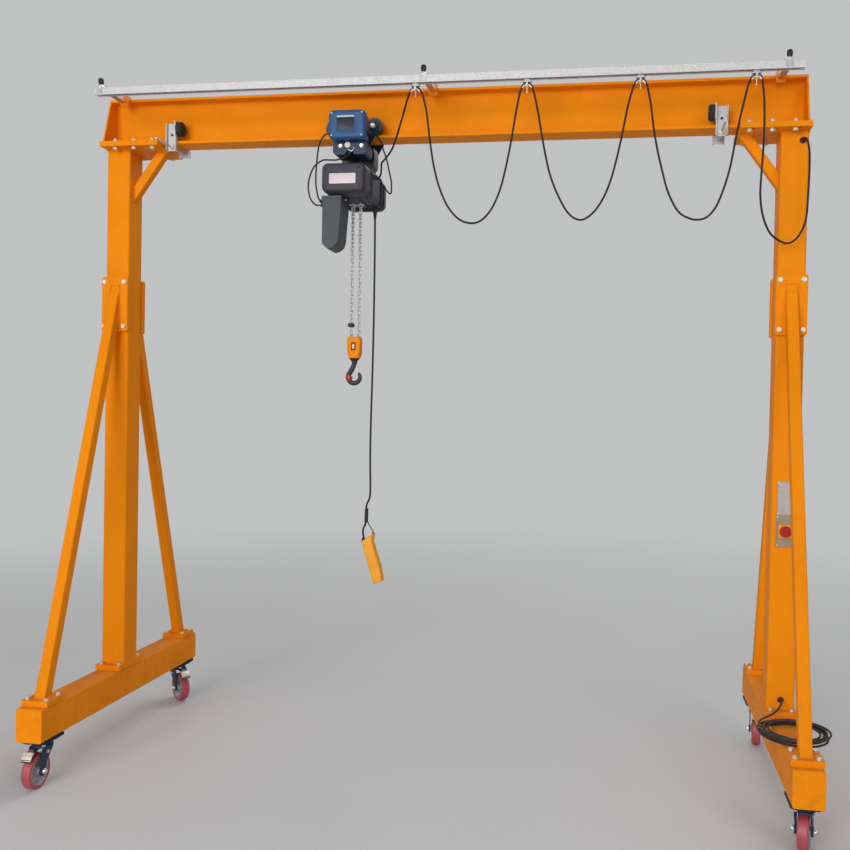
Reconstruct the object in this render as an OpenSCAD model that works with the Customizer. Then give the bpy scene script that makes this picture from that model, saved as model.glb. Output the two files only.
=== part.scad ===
// Portable gantry crane with an electric chain hoist on a powered trolley.
// X runs along the girder, Y away from the viewer, Z up. The origin is on the floor, under the middle.

/* [Girder] */
// Distance between the centre lines of the two columns
span = 3180; // [2900:10:4000]
// Height of the top of the girder above the floor
height = 3150; // [2900:10:3600]
// Depth of the I-beam
girder_h = 220; // [200:1:240]
// Width of the I-beam's flanges
girder_w = 110; // [100:1:118]
// Thickness of the flanges
flange_t = 12; // [9:0.5:14]
// Thickness of the web
web_t = 8; // [6:0.5:10]
// Length of girder past each column's centre line, end plate included
girder_overhang = 50; // [30:1:60]
// Thickness of the plates that close the girder's ends
end_plate_t = 8; // [6:1:12]
// Width of an end plate at its foot
end_plate_foot_w = 236; // [160:1:246]

/* [Plates] */
// Thickness of every bolted joint plate
plate_t = 12; // [8:1:14]
// Length along the girder of the bolted plates under its ends
head_plate_l = 300; // [280:1:320]
// Width of those plates across the girder
head_plate_w = 250; // [248:1:280]
// Distance from the column's centre line out to the plates' outer edge
head_plate_out = 62; // [60:1:70]
// Bolt spacing along the girder
bolt_pitch = 96; // [60:1:110]
// Bolt rows, distance from the middle of the girder
bolt_row = 103; // [80:1:112]
// Bolt size
bolt_d = 16; // [12:1:20]
// Column foot plate, along the girder
foot_plate_x = 130; // [124:1:150]
// Column foot plate, across the girder
foot_plate_y = 204; // [180:1:240]
// Brace foot plate, along the girder
brace_plate_x = 124; // [110:1:140]
// Brace foot plate, across the girder
brace_plate_y = 116; // [90:1:130]
// Height of the plates that hold the braces to the column
brace_top_plate_h = 264; // [230:1:300]
// Width of those plates
brace_top_plate_w = 134; // [124:1:150]
// Thickness of those plates
brace_top_plate_t = 10; // [6:1:14]

/* [Legs] */
// Side of the square column
column_w = 120; // [110:1:130]
// Wall of the column
column_wall = 5; // [3:0.5:8]
// Length of a base beam
base_l = 1360; // [1300:10:1600]
// Width of a base beam
base_w = 120; // [110:1:124]
// Depth of a base beam
base_h = 145; // [120:1:160]
// Wall of a base beam
base_wall = 5; // [3:0.5:8]
// Outer corner radius of the rolled sections
corner_r = 10; // [8:0.5:14]
// Side of the square brace tube
brace_w = 50; // [40:1:60]
// Wall of the brace tube
brace_wall = 4; // [2:0.5:6]
// Distance from the column's centre line to a brace's foot
brace_foot_y = 588; // [500:1:600]
// Height at which a brace's centre line meets the column's plate
brace_top_z = 2150; // [1700:10:2300]
// Side of the knee brace tube, in the plane of the frame
knee_w = 45; // [36:1:50]
// Wall of the knee brace
knee_wall = 4; // [2:0.5:6]
// How far the knee brace reaches out from the column's face
knee_run = 146; // [120:1:150]
// How far down the column the knee brace starts
knee_drop = 204; // [150:1:260]

/* [Casters] */
// Diameter of a caster wheel
wheel_d = 150; // [120:1:156]
// Width of its tread
wheel_w = 48; // [36:1:50]
// Thickness of the bonded tyre
tyre_t = 17; // [10:1:20]
// Height of a caster from the floor to its mounting face
caster_h = 198; // [190:1:220]
// Offset of the axle behind the swivel axis
caster_trail = 42; // [34:1:46]
// Distance of the swivel axis from the middle of the base beam
caster_y = 590; // [560:1:600]
// Thickness of the pads welded to the base beam
pad_t = 12; // [8:1:14]
// Swivel angles of the left front, left rear, right front and right rear casters as photographed
swivel = [-88, -38, 74, -98];

/* [Trolley] */
// Place of the trolley's middle along the girder
trolley_x = -395; // [-500:5:-100]
// Diameter of a trolley wheel's tread
trolley_wheel_d = 70; // [60:1:76]
// Distance between the axles
trolley_base = 190; // [150:1:200]
// Length of the side plates
side_plate_l = 240; // [220:1:250]
// Thickness of the side plates
side_plate_t = 8; // [6:1:10]
// Gap between the flange and a side plate
side_gap = 13; // [11:0.5:16]
// Diameter of the two cross shafts that carry the hoist
shaft_d = 22; // [18:1:24]
// Distance of each cross shaft from the trolley's middle
shaft_pitch = 44; // [40:1:48]
// Teeth on the rim of each driven wheel
rim_teeth = 34; // [28:2:34]
// Teeth of the gear between them
mid_teeth = 42; // [38:2:48]
// Width of the drive's control box
box_w = 166; // [150:1:176]
// Height of the drive's control box
box_h = 126; // [110:1:130]
// Depth of the drive's control box
box_d = 78; // [60:1:80]

/* [Hoist] */
// Width of the hoist
hoist_w = 212; // [200:1:220]
// Height of the hoist's housing
hoist_h = 146; // [140:1:156]
// Depth of the front cover
cover_d = 110; // [90:1:112]
// Height of the hoist's underside above the floor, below the girder's top
hoist_drop = 514; // [510:1:530]
// Depth of the hoist's casting between its two seams
body_d = 170; // [150:1:180]
// Depth of the motor behind it
motor_d = 110; // [90:1:120]
// Depth of the cooling fins
fin = 7; // [4:0.5:8]
// Drop of the chain bucket
bucket_h = 242; // [200:1:260]
// Thickness of the chain's wire
chain_wire = 6.3; // [5:0.1:6.5]
// Pitch of the chain, which is a link's inside length
chain_pitch = 19; // [18:0.5:20]
// Distance between the two falls of chain
chain_gap = 37; // [34:1:38]
// Links in each fall
chain_links = 36; // [20:1:40]
// Width of the hook block
block_w = 76; // [72:1:90]
// Height of the hook block
block_h = 102; // [96:1:110]
// Depth of the hook block
block_d = 54; // [48:1:60]
// Wire of the hook
hook_wire = 18; // [16:0.5:20]
// Radius of the hook's bowl, to the middle of its wire
hook_r = 31; // [29:0.5:33]

/* [Festoon] */
// Distance of the cable rail from the middle of the girder
rail_y = 266; // [262:1:280]
// Width of the rail
rail_w = 30; // [28:1:34]
// Height of the rail
rail_h = 32; // [30:1:34]
// Wall of the rail
rail_wall = 2; // [1.5:0.1:2.5]
// Drop of the rail's top below the girder's top
rail_drop = 23; // [22:1:26]
// Distance of the rail's left end from the left column's middle
rail_in_left = 10; // [0:1:20]
// Distance of the rail's right end from the right column's middle
rail_in_right = 5; // [0:1:20]
// Distance of the left bracket from the left column's middle
bracket_in_left = 34; // [30:1:60]
// Place of the middle bracket along the girder
bracket_mid = -20; // [-200:5:200]
// Distance of the right bracket from the right column's middle
bracket_in_right = 67; // [50:1:80]
// Width of a bracket's arm
arm_w = 30; // [24:1:36]
// Height of a bracket's arm
arm_h = 20; // [16:1:24]
// Width of a bracket's clamp on the flange
clip_w = 40; // [34:1:50]
// Thickness of that clamp in front of the flange
clip_t = 20; // [14:1:24]
// Reach of its two jaws over and under the flange
clip_reach = 34; // [26:1:38]
// Distance of the clamped fourth carrier from the right column's middle
carrier_in = 197; // [190:1:220]
// Distances from each carrier to the next, as photographed
carrier_gaps = [492, 482, 473];
// Width of a carrier
carrier_w = 44; // [36:1:46]
// Diameter of the festoon cable
cable_d = 10; // [7:0.5:11]

/* [Stops] */
// Distance of the left trolley stop from the left column's middle
stop_in_left = 280; // [260:1:300]
// Distance of the right trolley stop from the right column's middle
stop_in_right = 312; // [290:1:330]
// Width of a stop's plates along the girder
stop_w = 52; // [40:1:60]
// Height of a stop's plates
stop_h = 130; // [120:1:140]
// Thickness of a stop's plates
stop_t = 6; // [4:1:8]
// Depth of the flanges folded along a stop's plates
stop_lip = 20; // [14:1:26]
// Reach of the plate that carries a buffer, across the girder
ear_w = 71; // [60:1:76]
// Height of the plate that carries a buffer
ear_h = 68; // [50:1:72]
// Diameter of a stop's clamp rod
rod_d = 10; // [8:1:12]
// Height of the rod above the foot of the stop's plates
rod_up = 16; // [14:1:22]
// Length of the rod in front of the girder
rod_front = 154; // [40:1:170]
// Length of the rod behind the girder
rod_back = 24; // [20:1:60]
// Diameter of a rubber buffer
buffer_d = 70; // [50:1:72]
// Length of a rubber buffer
buffer_l = 26; // [20:1:30]

/* [Fittings] */
// Width and height of the bare rating plate
nameplate = [65, 148];
// Width and height of the isolator's front plate
switch_face = [76, 138];
// Height of the isolator's knob above the floor
switch_z = 1162; // [1000:1:1300]
// Diameter of the isolator's knob
knob_d = 50; // [40:1:56]
// Diameter of the supply cord
supply_d = 9; // [7:0.5:11]
// Diameter of the pendant's cord
pendant_d = 11; // [8:0.5:12]
// Radius of the coiled supply cord, to the middle of its turns
coil_r = 122; // [110:1:130]
// Height of the pile of turns
coil_tube = 26; // [20:1:30]

/* [Hidden] */

FIT = 0.3;
ORANGE = [0.86, 0.42, 0.06];
BLUE = [0.10, 0.22, 0.38];
CHARCOAL = [0.16, 0.17, 0.19];
GALV = [0.75, 0.76, 0.77];
BLACK = [0.05, 0.05, 0.05];
RED = [0.55, 0.08, 0.10];
YELLOW = [0.95, 0.65, 0.05];

girder_half = span / 2 + girder_overhang;
girder_z = height - girder_h;
flange_top = girder_z + flange_t;
column_top = girder_z - 2 * plate_t;
base_z = caster_h + pad_t;
beam_top = base_z + base_h;
foot_z = beam_top + plate_t;
column_z = foot_z + plate_t;
head_x = span / 2 + head_plate_out - head_plate_l / 2;
brace_face_y = column_w / 2 + 2 * brace_top_plate_t;
brace_end_y = column_w / 2 + brace_top_plate_t;
rail_top = height - rail_drop;
rail_z = rail_top - rail_h;
trolley_axle_z = flange_top + trolley_wheel_d / 2 + FIT;
side_y = girder_w / 2 + side_gap;
hoist_z = height - hoist_drop;
hoist_top = hoist_z + hoist_h;
chain_top = hoist_z + 12;
drive_x = trolley_x + 22;
gear_m = trolley_base / (rim_teeth + mid_teeth);
link_bend = 7;
link_w = 2 * link_bend + chain_wire;
GUIDE = 0.35;
block_roof = 12;
block_top = chain_top - (chain_links - 1) * chain_pitch + 21;
block_z = block_top - block_h;
cavity_z = block_z + 34;
saddle_r = 22;
saddle_z = rail_z - 14;
rail_left = -span / 2 + rail_in_left;
rail_right = span / 2 - rail_in_right;
bracket_x = [-span / 2 + bracket_in_left, bracket_mid, span / 2 - bracket_in_right];
stop_left = -span / 2 + stop_in_left;
stop_right = span / 2 - stop_in_right;
carrier_4x = span / 2 - carrier_in;
carrier_3x = carrier_4x - carrier_gaps[2];
carrier_2x = carrier_3x - carrier_gaps[1];
carrier_x = [carrier_2x - carrier_gaps[0], carrier_2x, carrier_3x, carrier_4x];

// Two crossed squares and four corner circles
module rounded_rect(w, h, r) {
    square([w - 2 * r, h], center = true);
    square([w, h - 2 * r], center = true);
    for (x = [-1, 1], y = [-1, 1])
        translate([x * (w / 2 - r), y * (h / 2 - r)]) circle(r = r, $fn = 32);
}

module hollow_section(w, h, wall, r) {
    difference() {
        rounded_rect(w, h, r);
        rounded_rect(w - 2 * wall, h - 2 * wall, max(r - wall, 1));
    }
}

module plate(x, y, t) {
    translate([-x / 2, -y / 2, 0]) cube([x, y, t]);
}

// A slab with rounded corners that faces the viewer, from y = 0 away to y = d
module face_slab(w, h, d, r) {
    translate([0, d, 0]) rotate([90, 0, 0]) linear_extrude(d) rounded_rect(w, h, r);
}

function side_name(s) = s < 0 ? "left" : "right";

// Smooth route: a Catmull-Rom curve through hand-chosen points, n steps from one to the next
function curve_at(a, b, c, d, t) =
    0.5 * ((2 * b) + (c - a) * t + (2 * a - 5 * b + 4 * c - d) * t * t
    + (3 * b - a - 3 * c + d) * t * t * t);
function smooth(p, n) = concat(
    [for (i = [0:len(p) - 2]) for (k = [0:n - 1])
        curve_at(p[max(i - 1, 0)], p[i], p[i + 1], p[min(i + 2, len(p) - 1)], k / n)],
    [p[len(p) - 1]]);
function unit(v) = v / norm(v);
// Direction at ring i; ends holds the directions wanted at the first and the last ring, so that end faces meet flat
function heading(p, i, ends) =
    i == 0 && ends[0] != undef ? ends[0]
    : i == len(p) - 1 && ends[1] != undef ? ends[1]
    : unit(p[min(i + 1, len(p) - 1)] - p[max(i - 1, 0)]);
function ring_at(p, i, d, ref, sides, ends) =
    let (t = heading(p, i, ends), u = unit(cross(t, ref)), v = cross(t, u))
    [for (k = [0:sides - 1]) p[i] + d / 2 * (u * cos(360 * k / sides) + v * sin(360 * k / sides))];

// A round cable: rings of corners along the route, joined by four-sided faces
module cable(points, d, ref = [0, 1, 0], ends = [undef, undef], n = 2, sides = 8) {
    p = smooth(points, n);
    corners = [for (i = [0:len(p) - 1]) for (c = ring_at(p, i, d, ref, sides, ends)) c];
    skin = [for (i = [0:len(p) - 2]) for (k = [0:sides - 1])
        [i * sides + k, i * sides + (k + 1) % sides,
         (i + 1) * sides + (k + 1) % sides, (i + 1) * sides + k]];
    first = [for (k = [sides - 1:-1:0]) k];
    last = [for (k = [0:sides - 1]) (len(p) - 1) * sides + k];
    polyhedron(points = corners, faces = concat([first], skin, [last]));
}

module girder_profile() {
    for (z = [0, girder_h - flange_t]) translate([-girder_w / 2, z]) square([girder_w, flange_t]);
    translate([-web_t / 2, 0]) square([web_t, girder_h]);
    // rolled fillets in the four inside corners
    for (s = [-1, 1]) fillets(s);
}

module fillets(s) {
    r = 9;
    for (up = [0, 1])
        translate([s * web_t / 2, up ? girder_h - flange_t : flange_t])
            difference() {
                translate([s > 0 ? -1 : -r, up ? -r : -1]) square([r + 1, r + 1]);
                translate([s * r, up ? -r : r]) circle(r = r, $fn = 48);
            }
}

module girder() {
    color(ORANGE)
        translate([-girder_half + end_plate_t, 0, girder_z])
            rotate([90, 0, 90]) linear_extrude(2 * girder_half - 2 * end_plate_t) girder_profile();
}

// Bolted plate under the girder's end, with the tapered plate that closes the I-section
module girder_ends() {
    color(ORANGE) for (s = [-1, 1]) {
        difference() {
            translate([s * head_x, 0, girder_z - plate_t]) plate(head_plate_l, head_plate_w, plate_t);
            head_bolts(s, girder_z - plate_t);
        }
        translate([s > 0 ? girder_half - end_plate_t : -girder_half, 0, girder_z])
            rotate([90, 0, 90]) linear_extrude(end_plate_t)
                polygon([[-end_plate_foot_w / 2, 0], [end_plate_foot_w / 2, 0],
                         [girder_w / 2, girder_h], [-girder_w / 2, girder_h]]);
    }
}

module head_bolts(s, z) {
    for (i = [-1:1], y = [-1, 1])
        translate([s * (head_x + i * bolt_pitch), y * bolt_row, z - 1])
            cylinder(d = bolt_d + 2, h = plate_t + 2, $fn = 24);
}

module head_plates() {
    color(ORANGE) for (s = [-1, 1])
        difference() {
            translate([s * head_x, 0, column_top]) plate(head_plate_l, head_plate_w, plate_t);
            head_bolts(s, column_top);
        }
}

module column(s) {
    translate([s * span / 2, 0, column_z])
        linear_extrude(column_top - column_z) hollow_section(column_w, column_w, column_wall, corner_r);
}

module column_left() {
    color(ORANGE) column(-1);
}

gland_x = span / 2 + 32;
gland_z = column_top - 42;
gland_d = 18;
outlet_z = column_z + 42;

module column_right() {
    color(ORANGE) difference() {
        column(1);
        for (p = [[gland_x, gland_z], [span / 2, outlet_z]])
            translate([p[0], -column_w / 2 - 1, p[1]]) rotate([-90, 0, 0])
                cylinder(d = gland_d + 2 * FIT, h = column_wall + 2, $fn = 32);
    }
}

module column_feet() {
    color(ORANGE) for (s = [-1, 1])
        translate([s * span / 2, 0, foot_z]) bolted_plate(foot_plate_x, foot_plate_y, plate_t, 20);
}

module bolted_plate(x, y, t, edge) {
    difference() {
        plate(x, y, t);
        for (i = [-1, 1], j = [-1, 1])
            translate([i * (x / 2 - edge), j * (y / 2 - edge), -1])
                cylinder(d = bolt_d - 2, h = t + 2, $fn = 24);
    }
}

// Square tube from a to b in the plane x = 0, run past both ends to be trimmed
module leaning_tube(a, b, w, wall, r) {
    lean = atan2(b[0] - a[0], b[1] - a[1]);
    over = w;
    translate([0, a[0], a[1]]) rotate([-lean, 0, 0]) translate([0, 0, -over])
        linear_extrude(norm(b - a) + 2 * over) hollow_section(w, w, wall, r);
}

module brace(s, t) {
    far = 2 * base_l;
    translate([s * span / 2, 0, 0]) scale([1, 1, 1]) mirror([0, t > 0 ? 0 : 1, 0])
        intersection() {
            leaning_tube([brace_foot_y, column_z], [brace_face_y, brace_top_z], brace_w, brace_wall, 6);
            translate([-brace_w, brace_face_y, column_z]) cube([2 * brace_w, far, height]);
        }
}

module braces_left() {
    color(ORANGE) for (t = [-1, 1]) brace(-1, t);
}

module braces_right() {
    color(ORANGE) for (t = [-1, 1]) brace(1, t);
}

// Foot and top plates of the four braces
module brace_plates() {
    color(ORANGE) for (s = [-1, 1], t = [-1, 1]) {
        translate([s * span / 2, t * brace_foot_y, foot_z])
            bolted_plate(brace_plate_x, brace_plate_y, plate_t, 18);
        for (k = [0, 1])
            translate([s * span / 2, t * (column_w / 2 + (k + 0.5) * brace_top_plate_t), brace_top_z])
                rotate([90, 0, 0]) translate([0, 0, -brace_top_plate_t / 2 + FIT / 4])
                    linear_extrude(brace_top_plate_t - FIT / 2)
                        difference() {
                            rounded_rect(brace_top_plate_w, brace_top_plate_h, 8);
                            for (i = [-1, 1], j = [-1, 1])
                                translate([i * 50, j * (brace_top_plate_h / 2 - 24)])
                                    circle(d = bolt_d - 2, $fn = 24);
                        }
    }
}

// Knee between the column's inner face and the head plate
module knee_braces() {
    color(ORANGE) for (s = [-1, 1])
        mirror([s > 0 ? 0 : 1, 0, 0])
            intersection() {
                translate([span / 2 - column_w / 2, 0, column_top]) rotate([0, 0, 90])
                    leaning_tube([0, -knee_drop], [knee_run, 0], knee_w, knee_wall, 6);
                translate([0, -knee_w, 0]) cube([span / 2 - column_w / 2, 2 * knee_w, column_top]);
            }
}

module base_beam(s) {
    translate([s * span / 2, base_l / 2, base_z + base_h / 2]) rotate([90, 0, 0]) {
        linear_extrude(base_l) hollow_section(base_w, base_h, base_wall, corner_r);
        for (z = [0, base_l - base_wall])
            translate([0, 0, z]) linear_extrude(base_wall) rounded_rect(base_w, base_h, corner_r);
    }
}

module base_beam_left() {
    color(ORANGE) base_beam(-1);
}

module base_beam_right() {
    color(ORANGE) base_beam(1);
}

// Plates welded to the base beams: under the column and brace feet, and over the casters
module beam_pads() {
    color(ORANGE) for (s = [-1, 1]) {
        translate([s * span / 2, 0, beam_top]) bolted_plate(foot_plate_x, foot_plate_y, plate_t, 20);
        for (t = [-1, 1]) {
            translate([s * span / 2, t * brace_foot_y, beam_top])
                bolted_plate(brace_plate_x, brace_plate_y, plate_t, 18);
            translate([s * span / 2, t * caster_y, caster_h]) plate(base_w, 130, pad_t);
        }
    }
}

top_plate_t = 6;
race_h = 16;
race_d = 84;
kingpin_d = 16;
crown_t = 7;
crown_z = caster_h - top_plate_t - race_h - FIT - crown_t;
fork_gap = wheel_w / 2 + 4;
fork_t = 5;
axle_d = 12;

// Mounting plate with the bulged ball race under it, bored for the kingpin
module caster_plates() {
    color(GALV) for (s = [-1, 1], t = [-1, 1])
        translate([s * span / 2, t * caster_y, caster_h - top_plate_t]) {
            difference() {
                linear_extrude(top_plate_t) rounded_rect(104, 118, 10);
                translate([0, 0, -1]) cylinder(d = kingpin_d + 2 * FIT, h = top_plate_t + 2, $fn = 32);
            }
            rotate_extrude($fn = 48)
                polygon([[kingpin_d / 2 + FIT, -race_h], [race_d / 2 - 5, -race_h], [race_d / 2, -race_h + 5],
                         [race_d / 2, -race_h + 9], [race_d / 2 - 7, -3], [race_d / 2 - 12, 0.5],
                         [kingpin_d / 2 + FIT, 0.5]]);
        }
}

function caster_place(i) = [(i < 2 ? -1 : 1) * span / 2, (i % 2 == 0 ? -1 : 1) * caster_y, 0];

// Crown, kingpin, two pressed legs, the axle with its domed ends, and the brake lever
module caster_fork(i) {
    leg_top = crown_z + crown_t;
    axle_z = wheel_d / 2;
    color(BLUE) translate(caster_place(i)) rotate([0, 0, swivel[i]]) {
        translate([0, 0, crown_z]) rotate_extrude($fn = 48)
            polygon([[0, 0], [race_d / 2 - 3, 0], [race_d / 2, 3], [race_d / 2 - 2, crown_t], [0, crown_t]]);
        translate([0, 0, crown_z]) cylinder(d = kingpin_d, h = crown_t + race_h - 2, $fn = 32);
        for (y = [-1, 1])
            translate([0, y > 0 ? fork_gap + fork_t : -fork_gap, 0]) rotate([90, 0, 0])
                linear_extrude(fork_t) {
                    polygon([[-34, leg_top], [37, leg_top], [46, leg_top - 14], [53, axle_z + 52],
                             [caster_trail + 18, axle_z + 8], [caster_trail - 17, axle_z - 9],
                             [14, axle_z + 32], [-12, axle_z + 64], [-30, leg_top - 18]]);
                    translate([caster_trail, axle_z]) circle(r = 20, $fn = 40);
                }
        // rims pressed outward along the legs
        for (y = [-1, 1])
            translate([0, y > 0 ? fork_gap + fork_t + 2 : -fork_gap - fork_t + 1, 0]) rotate([90, 0, 0])
                linear_extrude(3)
                    difference() {
                        circle_at([caster_trail, axle_z], 19);
                        circle_at([caster_trail, axle_z], 13);
                    }
        translate([caster_trail, fork_gap + fork_t + 8, axle_z]) rotate([90, 0, 0])
            cylinder(d = axle_d, h = 2 * (fork_gap + fork_t + 8), $fn = 32);
        translate([-24, -fork_gap - fork_t, crown_z]) cube([52, 2 * (fork_gap + fork_t), crown_t]);
        brake_lever();
    }
}

module circle_at(p, r) {
    translate(p) circle(r = r, $fn = 40);
}

// Lever of the total-lock brake: an arm from the crown and a broad ribbed tread over the tyre
module brake_lever() {
    translate([0, 10, 0]) rotate([90, 0, 0]) linear_extrude(20)
        polygon([[20, crown_z + 1], [20, crown_z - 5], [66, crown_z - 5], [92, crown_z - 14],
                 [94, crown_z - 7], [68, crown_z + 1]]);
    translate([0, 22, 0]) rotate([90, 0, 0]) linear_extrude(44)
        polygon([[84, crown_z - 12], [86, crown_z - 5], [100, crown_z - 9], [117, crown_z - 27],
                 [114, crown_z - 33], [106, crown_z - 33], [96, crown_z - 16]]);
    for (k = [0:2])
        translate([103 + 5 * k, -22, crown_z - 12.2 - 5.3 * k]) rotate([-90, 0, 0]) cylinder(d = 5, h = 44, $fn = 20);
}

module caster_wheel(i) {
    hub_d = wheel_d - 2 * tyre_t;
    color(RED) translate(caster_place(i)) rotate([0, 0, swivel[i]])
        translate([caster_trail, 0, wheel_d / 2]) rotate([90, 0, 0])
            rotate_extrude($fn = 72)
                polygon([[axle_d / 2 + FIT, -fork_gap + 1], [18, -fork_gap + 1], [20, -12],
                         [hub_d / 2 - 6, -9], [hub_d / 2 - 4, -wheel_w / 2 + 3],
                         [hub_d / 2, -wheel_w / 2 + 1], [wheel_d / 2 - 4, -wheel_w / 2],
                         [wheel_d / 2, -wheel_w / 2 + 6], [wheel_d / 2, wheel_w / 2 - 6],
                         [wheel_d / 2 - 4, wheel_w / 2], [hub_d / 2, wheel_w / 2 - 1],
                         [hub_d / 2 - 4, wheel_w / 2 - 3], [hub_d / 2 - 6, 9], [20, 12],
                         [18, fork_gap - 1], [axle_d / 2 + FIT, fork_gap - 1]]);
}

module caster_fork_left_front() { caster_fork(0); }
module caster_fork_left_rear() { caster_fork(1); }
module caster_fork_right_front() { caster_fork(2); }
module caster_fork_right_rear() { caster_fork(3); }
module caster_wheel_left_front() { caster_wheel(0); }
module caster_wheel_left_rear() { caster_wheel(1); }
module caster_wheel_right_front() { caster_wheel(2); }
module caster_wheel_right_rear() { caster_wheel(3); }

stop_y = girder_w / 2 + FIT;
stop_z = girder_z - 37;
rod_z = stop_z + rod_up;
buffer_z = stop_z + stop_h - buffer_d / 2 + 8;

// Channel with its flanges folded away from the girder, seen from above
module stop_channel() {
    square([stop_w, stop_t], center = true);
    for (s = [-1, 1]) translate([s * (stop_w / 2 - 2), (stop_lip - stop_t) / 2]) square([4, stop_lip], center = true);
}

// Two channels clamped across the bottom flange by a long rod, each with an ear for its buffer
module trolley_stop(x, inward) {
    translate([x, 0, 0]) {
        for (t = [-1, 1])
            difference() {
                union() {
                    translate([0, t * (stop_y + stop_t / 2), stop_z]) mirror([0, t > 0 ? 0 : 1, 0])
                        linear_extrude(stop_h) stop_channel();
                    translate([inward > 0 ? stop_w / 2 - 1 : -stop_w / 2 - stop_t + 1,
                               t > 0 ? ear_y - ear_w : -ear_y, buffer_z - ear_h / 2])
                        cube([stop_t, ear_w, ear_h]);
                }
                translate([0, t > 0 ? 0 : -ear_y, 0]) for (h = [[rod_z, rod_d + 1], [stop_z + 76, 10]])
                    translate([0, 0, h[0]]) rotate([-90, 0, 0]) cylinder(d = h[1], h = ear_y, $fn = 24);
            }
        translate([0, -stop_y - rod_front, rod_z]) rotate([-90, 0, 0])
            cylinder(d = rod_d, h = 2 * stop_y + rod_front + rod_back + stop_t, $fn = 24);
        for (y = [-stop_y - stop_t - nut_h + 0.5, stop_y + stop_t - 0.5])
            translate([0, y, rod_z]) rotate([-90, 0, 0]) cylinder(d = 2 * rod_d, h = nut_h, $fn = 6);
    }
}

ear_y = stop_y + stop_t + 28;
nut_h = 9;

module trolley_stops() {
    color(GALV) {
        trolley_stop(stop_left, 1);
        trolley_stop(stop_right, -1);
    }
}

buffer_y = stop_y + stop_t / 2;

module stop_buffers() {
    color(BLACK) for (k = [[stop_left, 1], [stop_right, -1]], t = [-1, 1])
        translate([k[0] + k[1] * (stop_w / 2 + stop_t - 1), t * buffer_y, buffer_z])
            rotate([0, k[1] * 90, 0]) {
                cylinder(d = buffer_d, h = buffer_l - 6, $fn = 48);
                translate([0, 0, buffer_l - 6]) cylinder(d1 = buffer_d, d2 = buffer_d - 12, h = 6, $fn = 48);
            }
}

// Rolled C-section, open along its underside
module rail_profile() {
    slot = 12;
    difference() {
        square([rail_w, rail_h], center = true);
        square([rail_w - 2 * rail_wall, rail_h - 2 * rail_wall], center = true);
        translate([-slot / 2, -rail_h]) square([slot, rail_h]);
    }
}

module festoon_rail() {
    color(GALV) translate([rail_left, -rail_y, rail_z + rail_h / 2])
        rotate([90, 0, 90]) linear_extrude(rail_right - rail_left) rail_profile();
}

// C-clamp on the edge of the top flange, seen along the girder
module clamp_profile() {
    jaw = 14;
    polygon([[-clip_t, 12], [clip_reach - clip_t, 12], [clip_reach - clip_t, FIT], [-FIT, FIT],
             [-FIT, -flange_t - FIT], [clip_reach - clip_t, -flange_t - FIT],
             [clip_reach - clip_t, -flange_t - jaw], [-clip_t + 8, -flange_t - jaw - 10], [-clip_t, -flange_t - jaw]]);
}

// Arm from the clamp to over the rail, with a stirrup round the rail
module rail_bracket(x) {
    over = rail_y + rail_w / 2 + 3;
    translate([x, 0, 0]) {
        translate([-arm_w / 2, -over, rail_top]) cube([arm_w, over - girder_w / 2 - 2, 4]);
        for (s = [-1, 1])
            translate([s > 0 ? arm_w / 2 - 3 : -arm_w / 2, -over + 34, rail_top])
                cube([3, over - girder_w / 2 - 36, arm_h]);
        translate([-clip_w / 2, -girder_w / 2, height]) rotate([90, 0, 90]) linear_extrude(clip_w) clamp_profile();
        for (y = [-1, 1])
            translate([-arm_w / 2, -rail_y + (y > 0 ? rail_w / 2 + FIT : -rail_w / 2 - 3), rail_z + 6])
                cube([arm_w, 3 - FIT, rail_h - 6 + 1]);
    }
}

module rail_brackets() {
    color(GALV) for (x = bracket_x) rail_bracket(x);
}

module rail_knobs() {
    color(BLACK) for (x = bracket_x)
        translate([x, -rail_y, rail_top + 4])
            rotate_extrude($fn = 40)
                polygon([[0, 0], [13, 0], [13, 3], [7, 4], [5, 12], [5, 20], [8, 24], [10, 30], [10, 39], [7, 43], [0, 44]]);
}

module nameplate() {
    color(GALV) translate([span / 2 - 3, -column_w / 2 - 1.5, switch_z + 71 + nameplate[1] / 2])
        face_slab(nameplate[0], nameplate[1], 1.5, 3);
}

module switch_plate() {
    color([0.45, 0.42, 0.40]) translate([span / 2, -column_w / 2 - 4, switch_z])
        difference() {
            face_slab(switch_face[0], switch_face[1], 4, 4);
            translate([0, -1, 0]) rotate([-90, 0, 0]) cylinder(d = 12 + 2 * FIT, h = 6, $fn = 32);
        }
    color(YELLOW) translate([span / 2, -column_w / 2 - 10, switch_z])
        difference() {
            face_slab(60, 60, 6, 4);
            translate([0, -1, 0]) rotate([-90, 0, 0]) cylinder(d = 12 + 2 * FIT, h = 8, $fn = 32);
        }
}

// Round knob with a raised grip bar
module isolator_knob() {
    color(RED) translate([span / 2, -column_w / 2 - 10 - FIT, switch_z]) rotate([90, 0, 0]) {
        translate([0, 0, -8]) cylinder(d = 12, h = 9, $fn = 32);
        cylinder(d = knob_d, h = 12, $fn = 48);
        translate([0, 0, 12]) linear_extrude(14) rounded_rect(14, knob_d - 6, 6);
    }
}

module cable_glands() {
    color(BLACK) for (p = [[gland_x, gland_z, cable_d], [span / 2, outlet_z, supply_d]])
        translate([p[0], -column_w / 2, p[1]]) rotate([90, 0, 0])
            difference() {
                union() {
                    translate([0, 0, -column_wall]) cylinder(d = gland_d, h = column_wall + 1, $fn = 32);
                    cylinder(d = gland_d + 6, h = 6, $fn = 32);
                    translate([0, 0, 5]) cylinder(d1 = gland_d, d2 = p[2] + 5, h = 9, $fn = 32);
                }
                translate([0, 0, -column_wall - 1])
                    cylinder(d = p[2] + FIT, h = column_wall + 11, $fn = 32);
            }
}

coil_x = span / 2 + 10;
coil_y = -312;
coil_z = beam_top + FIT;
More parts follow.
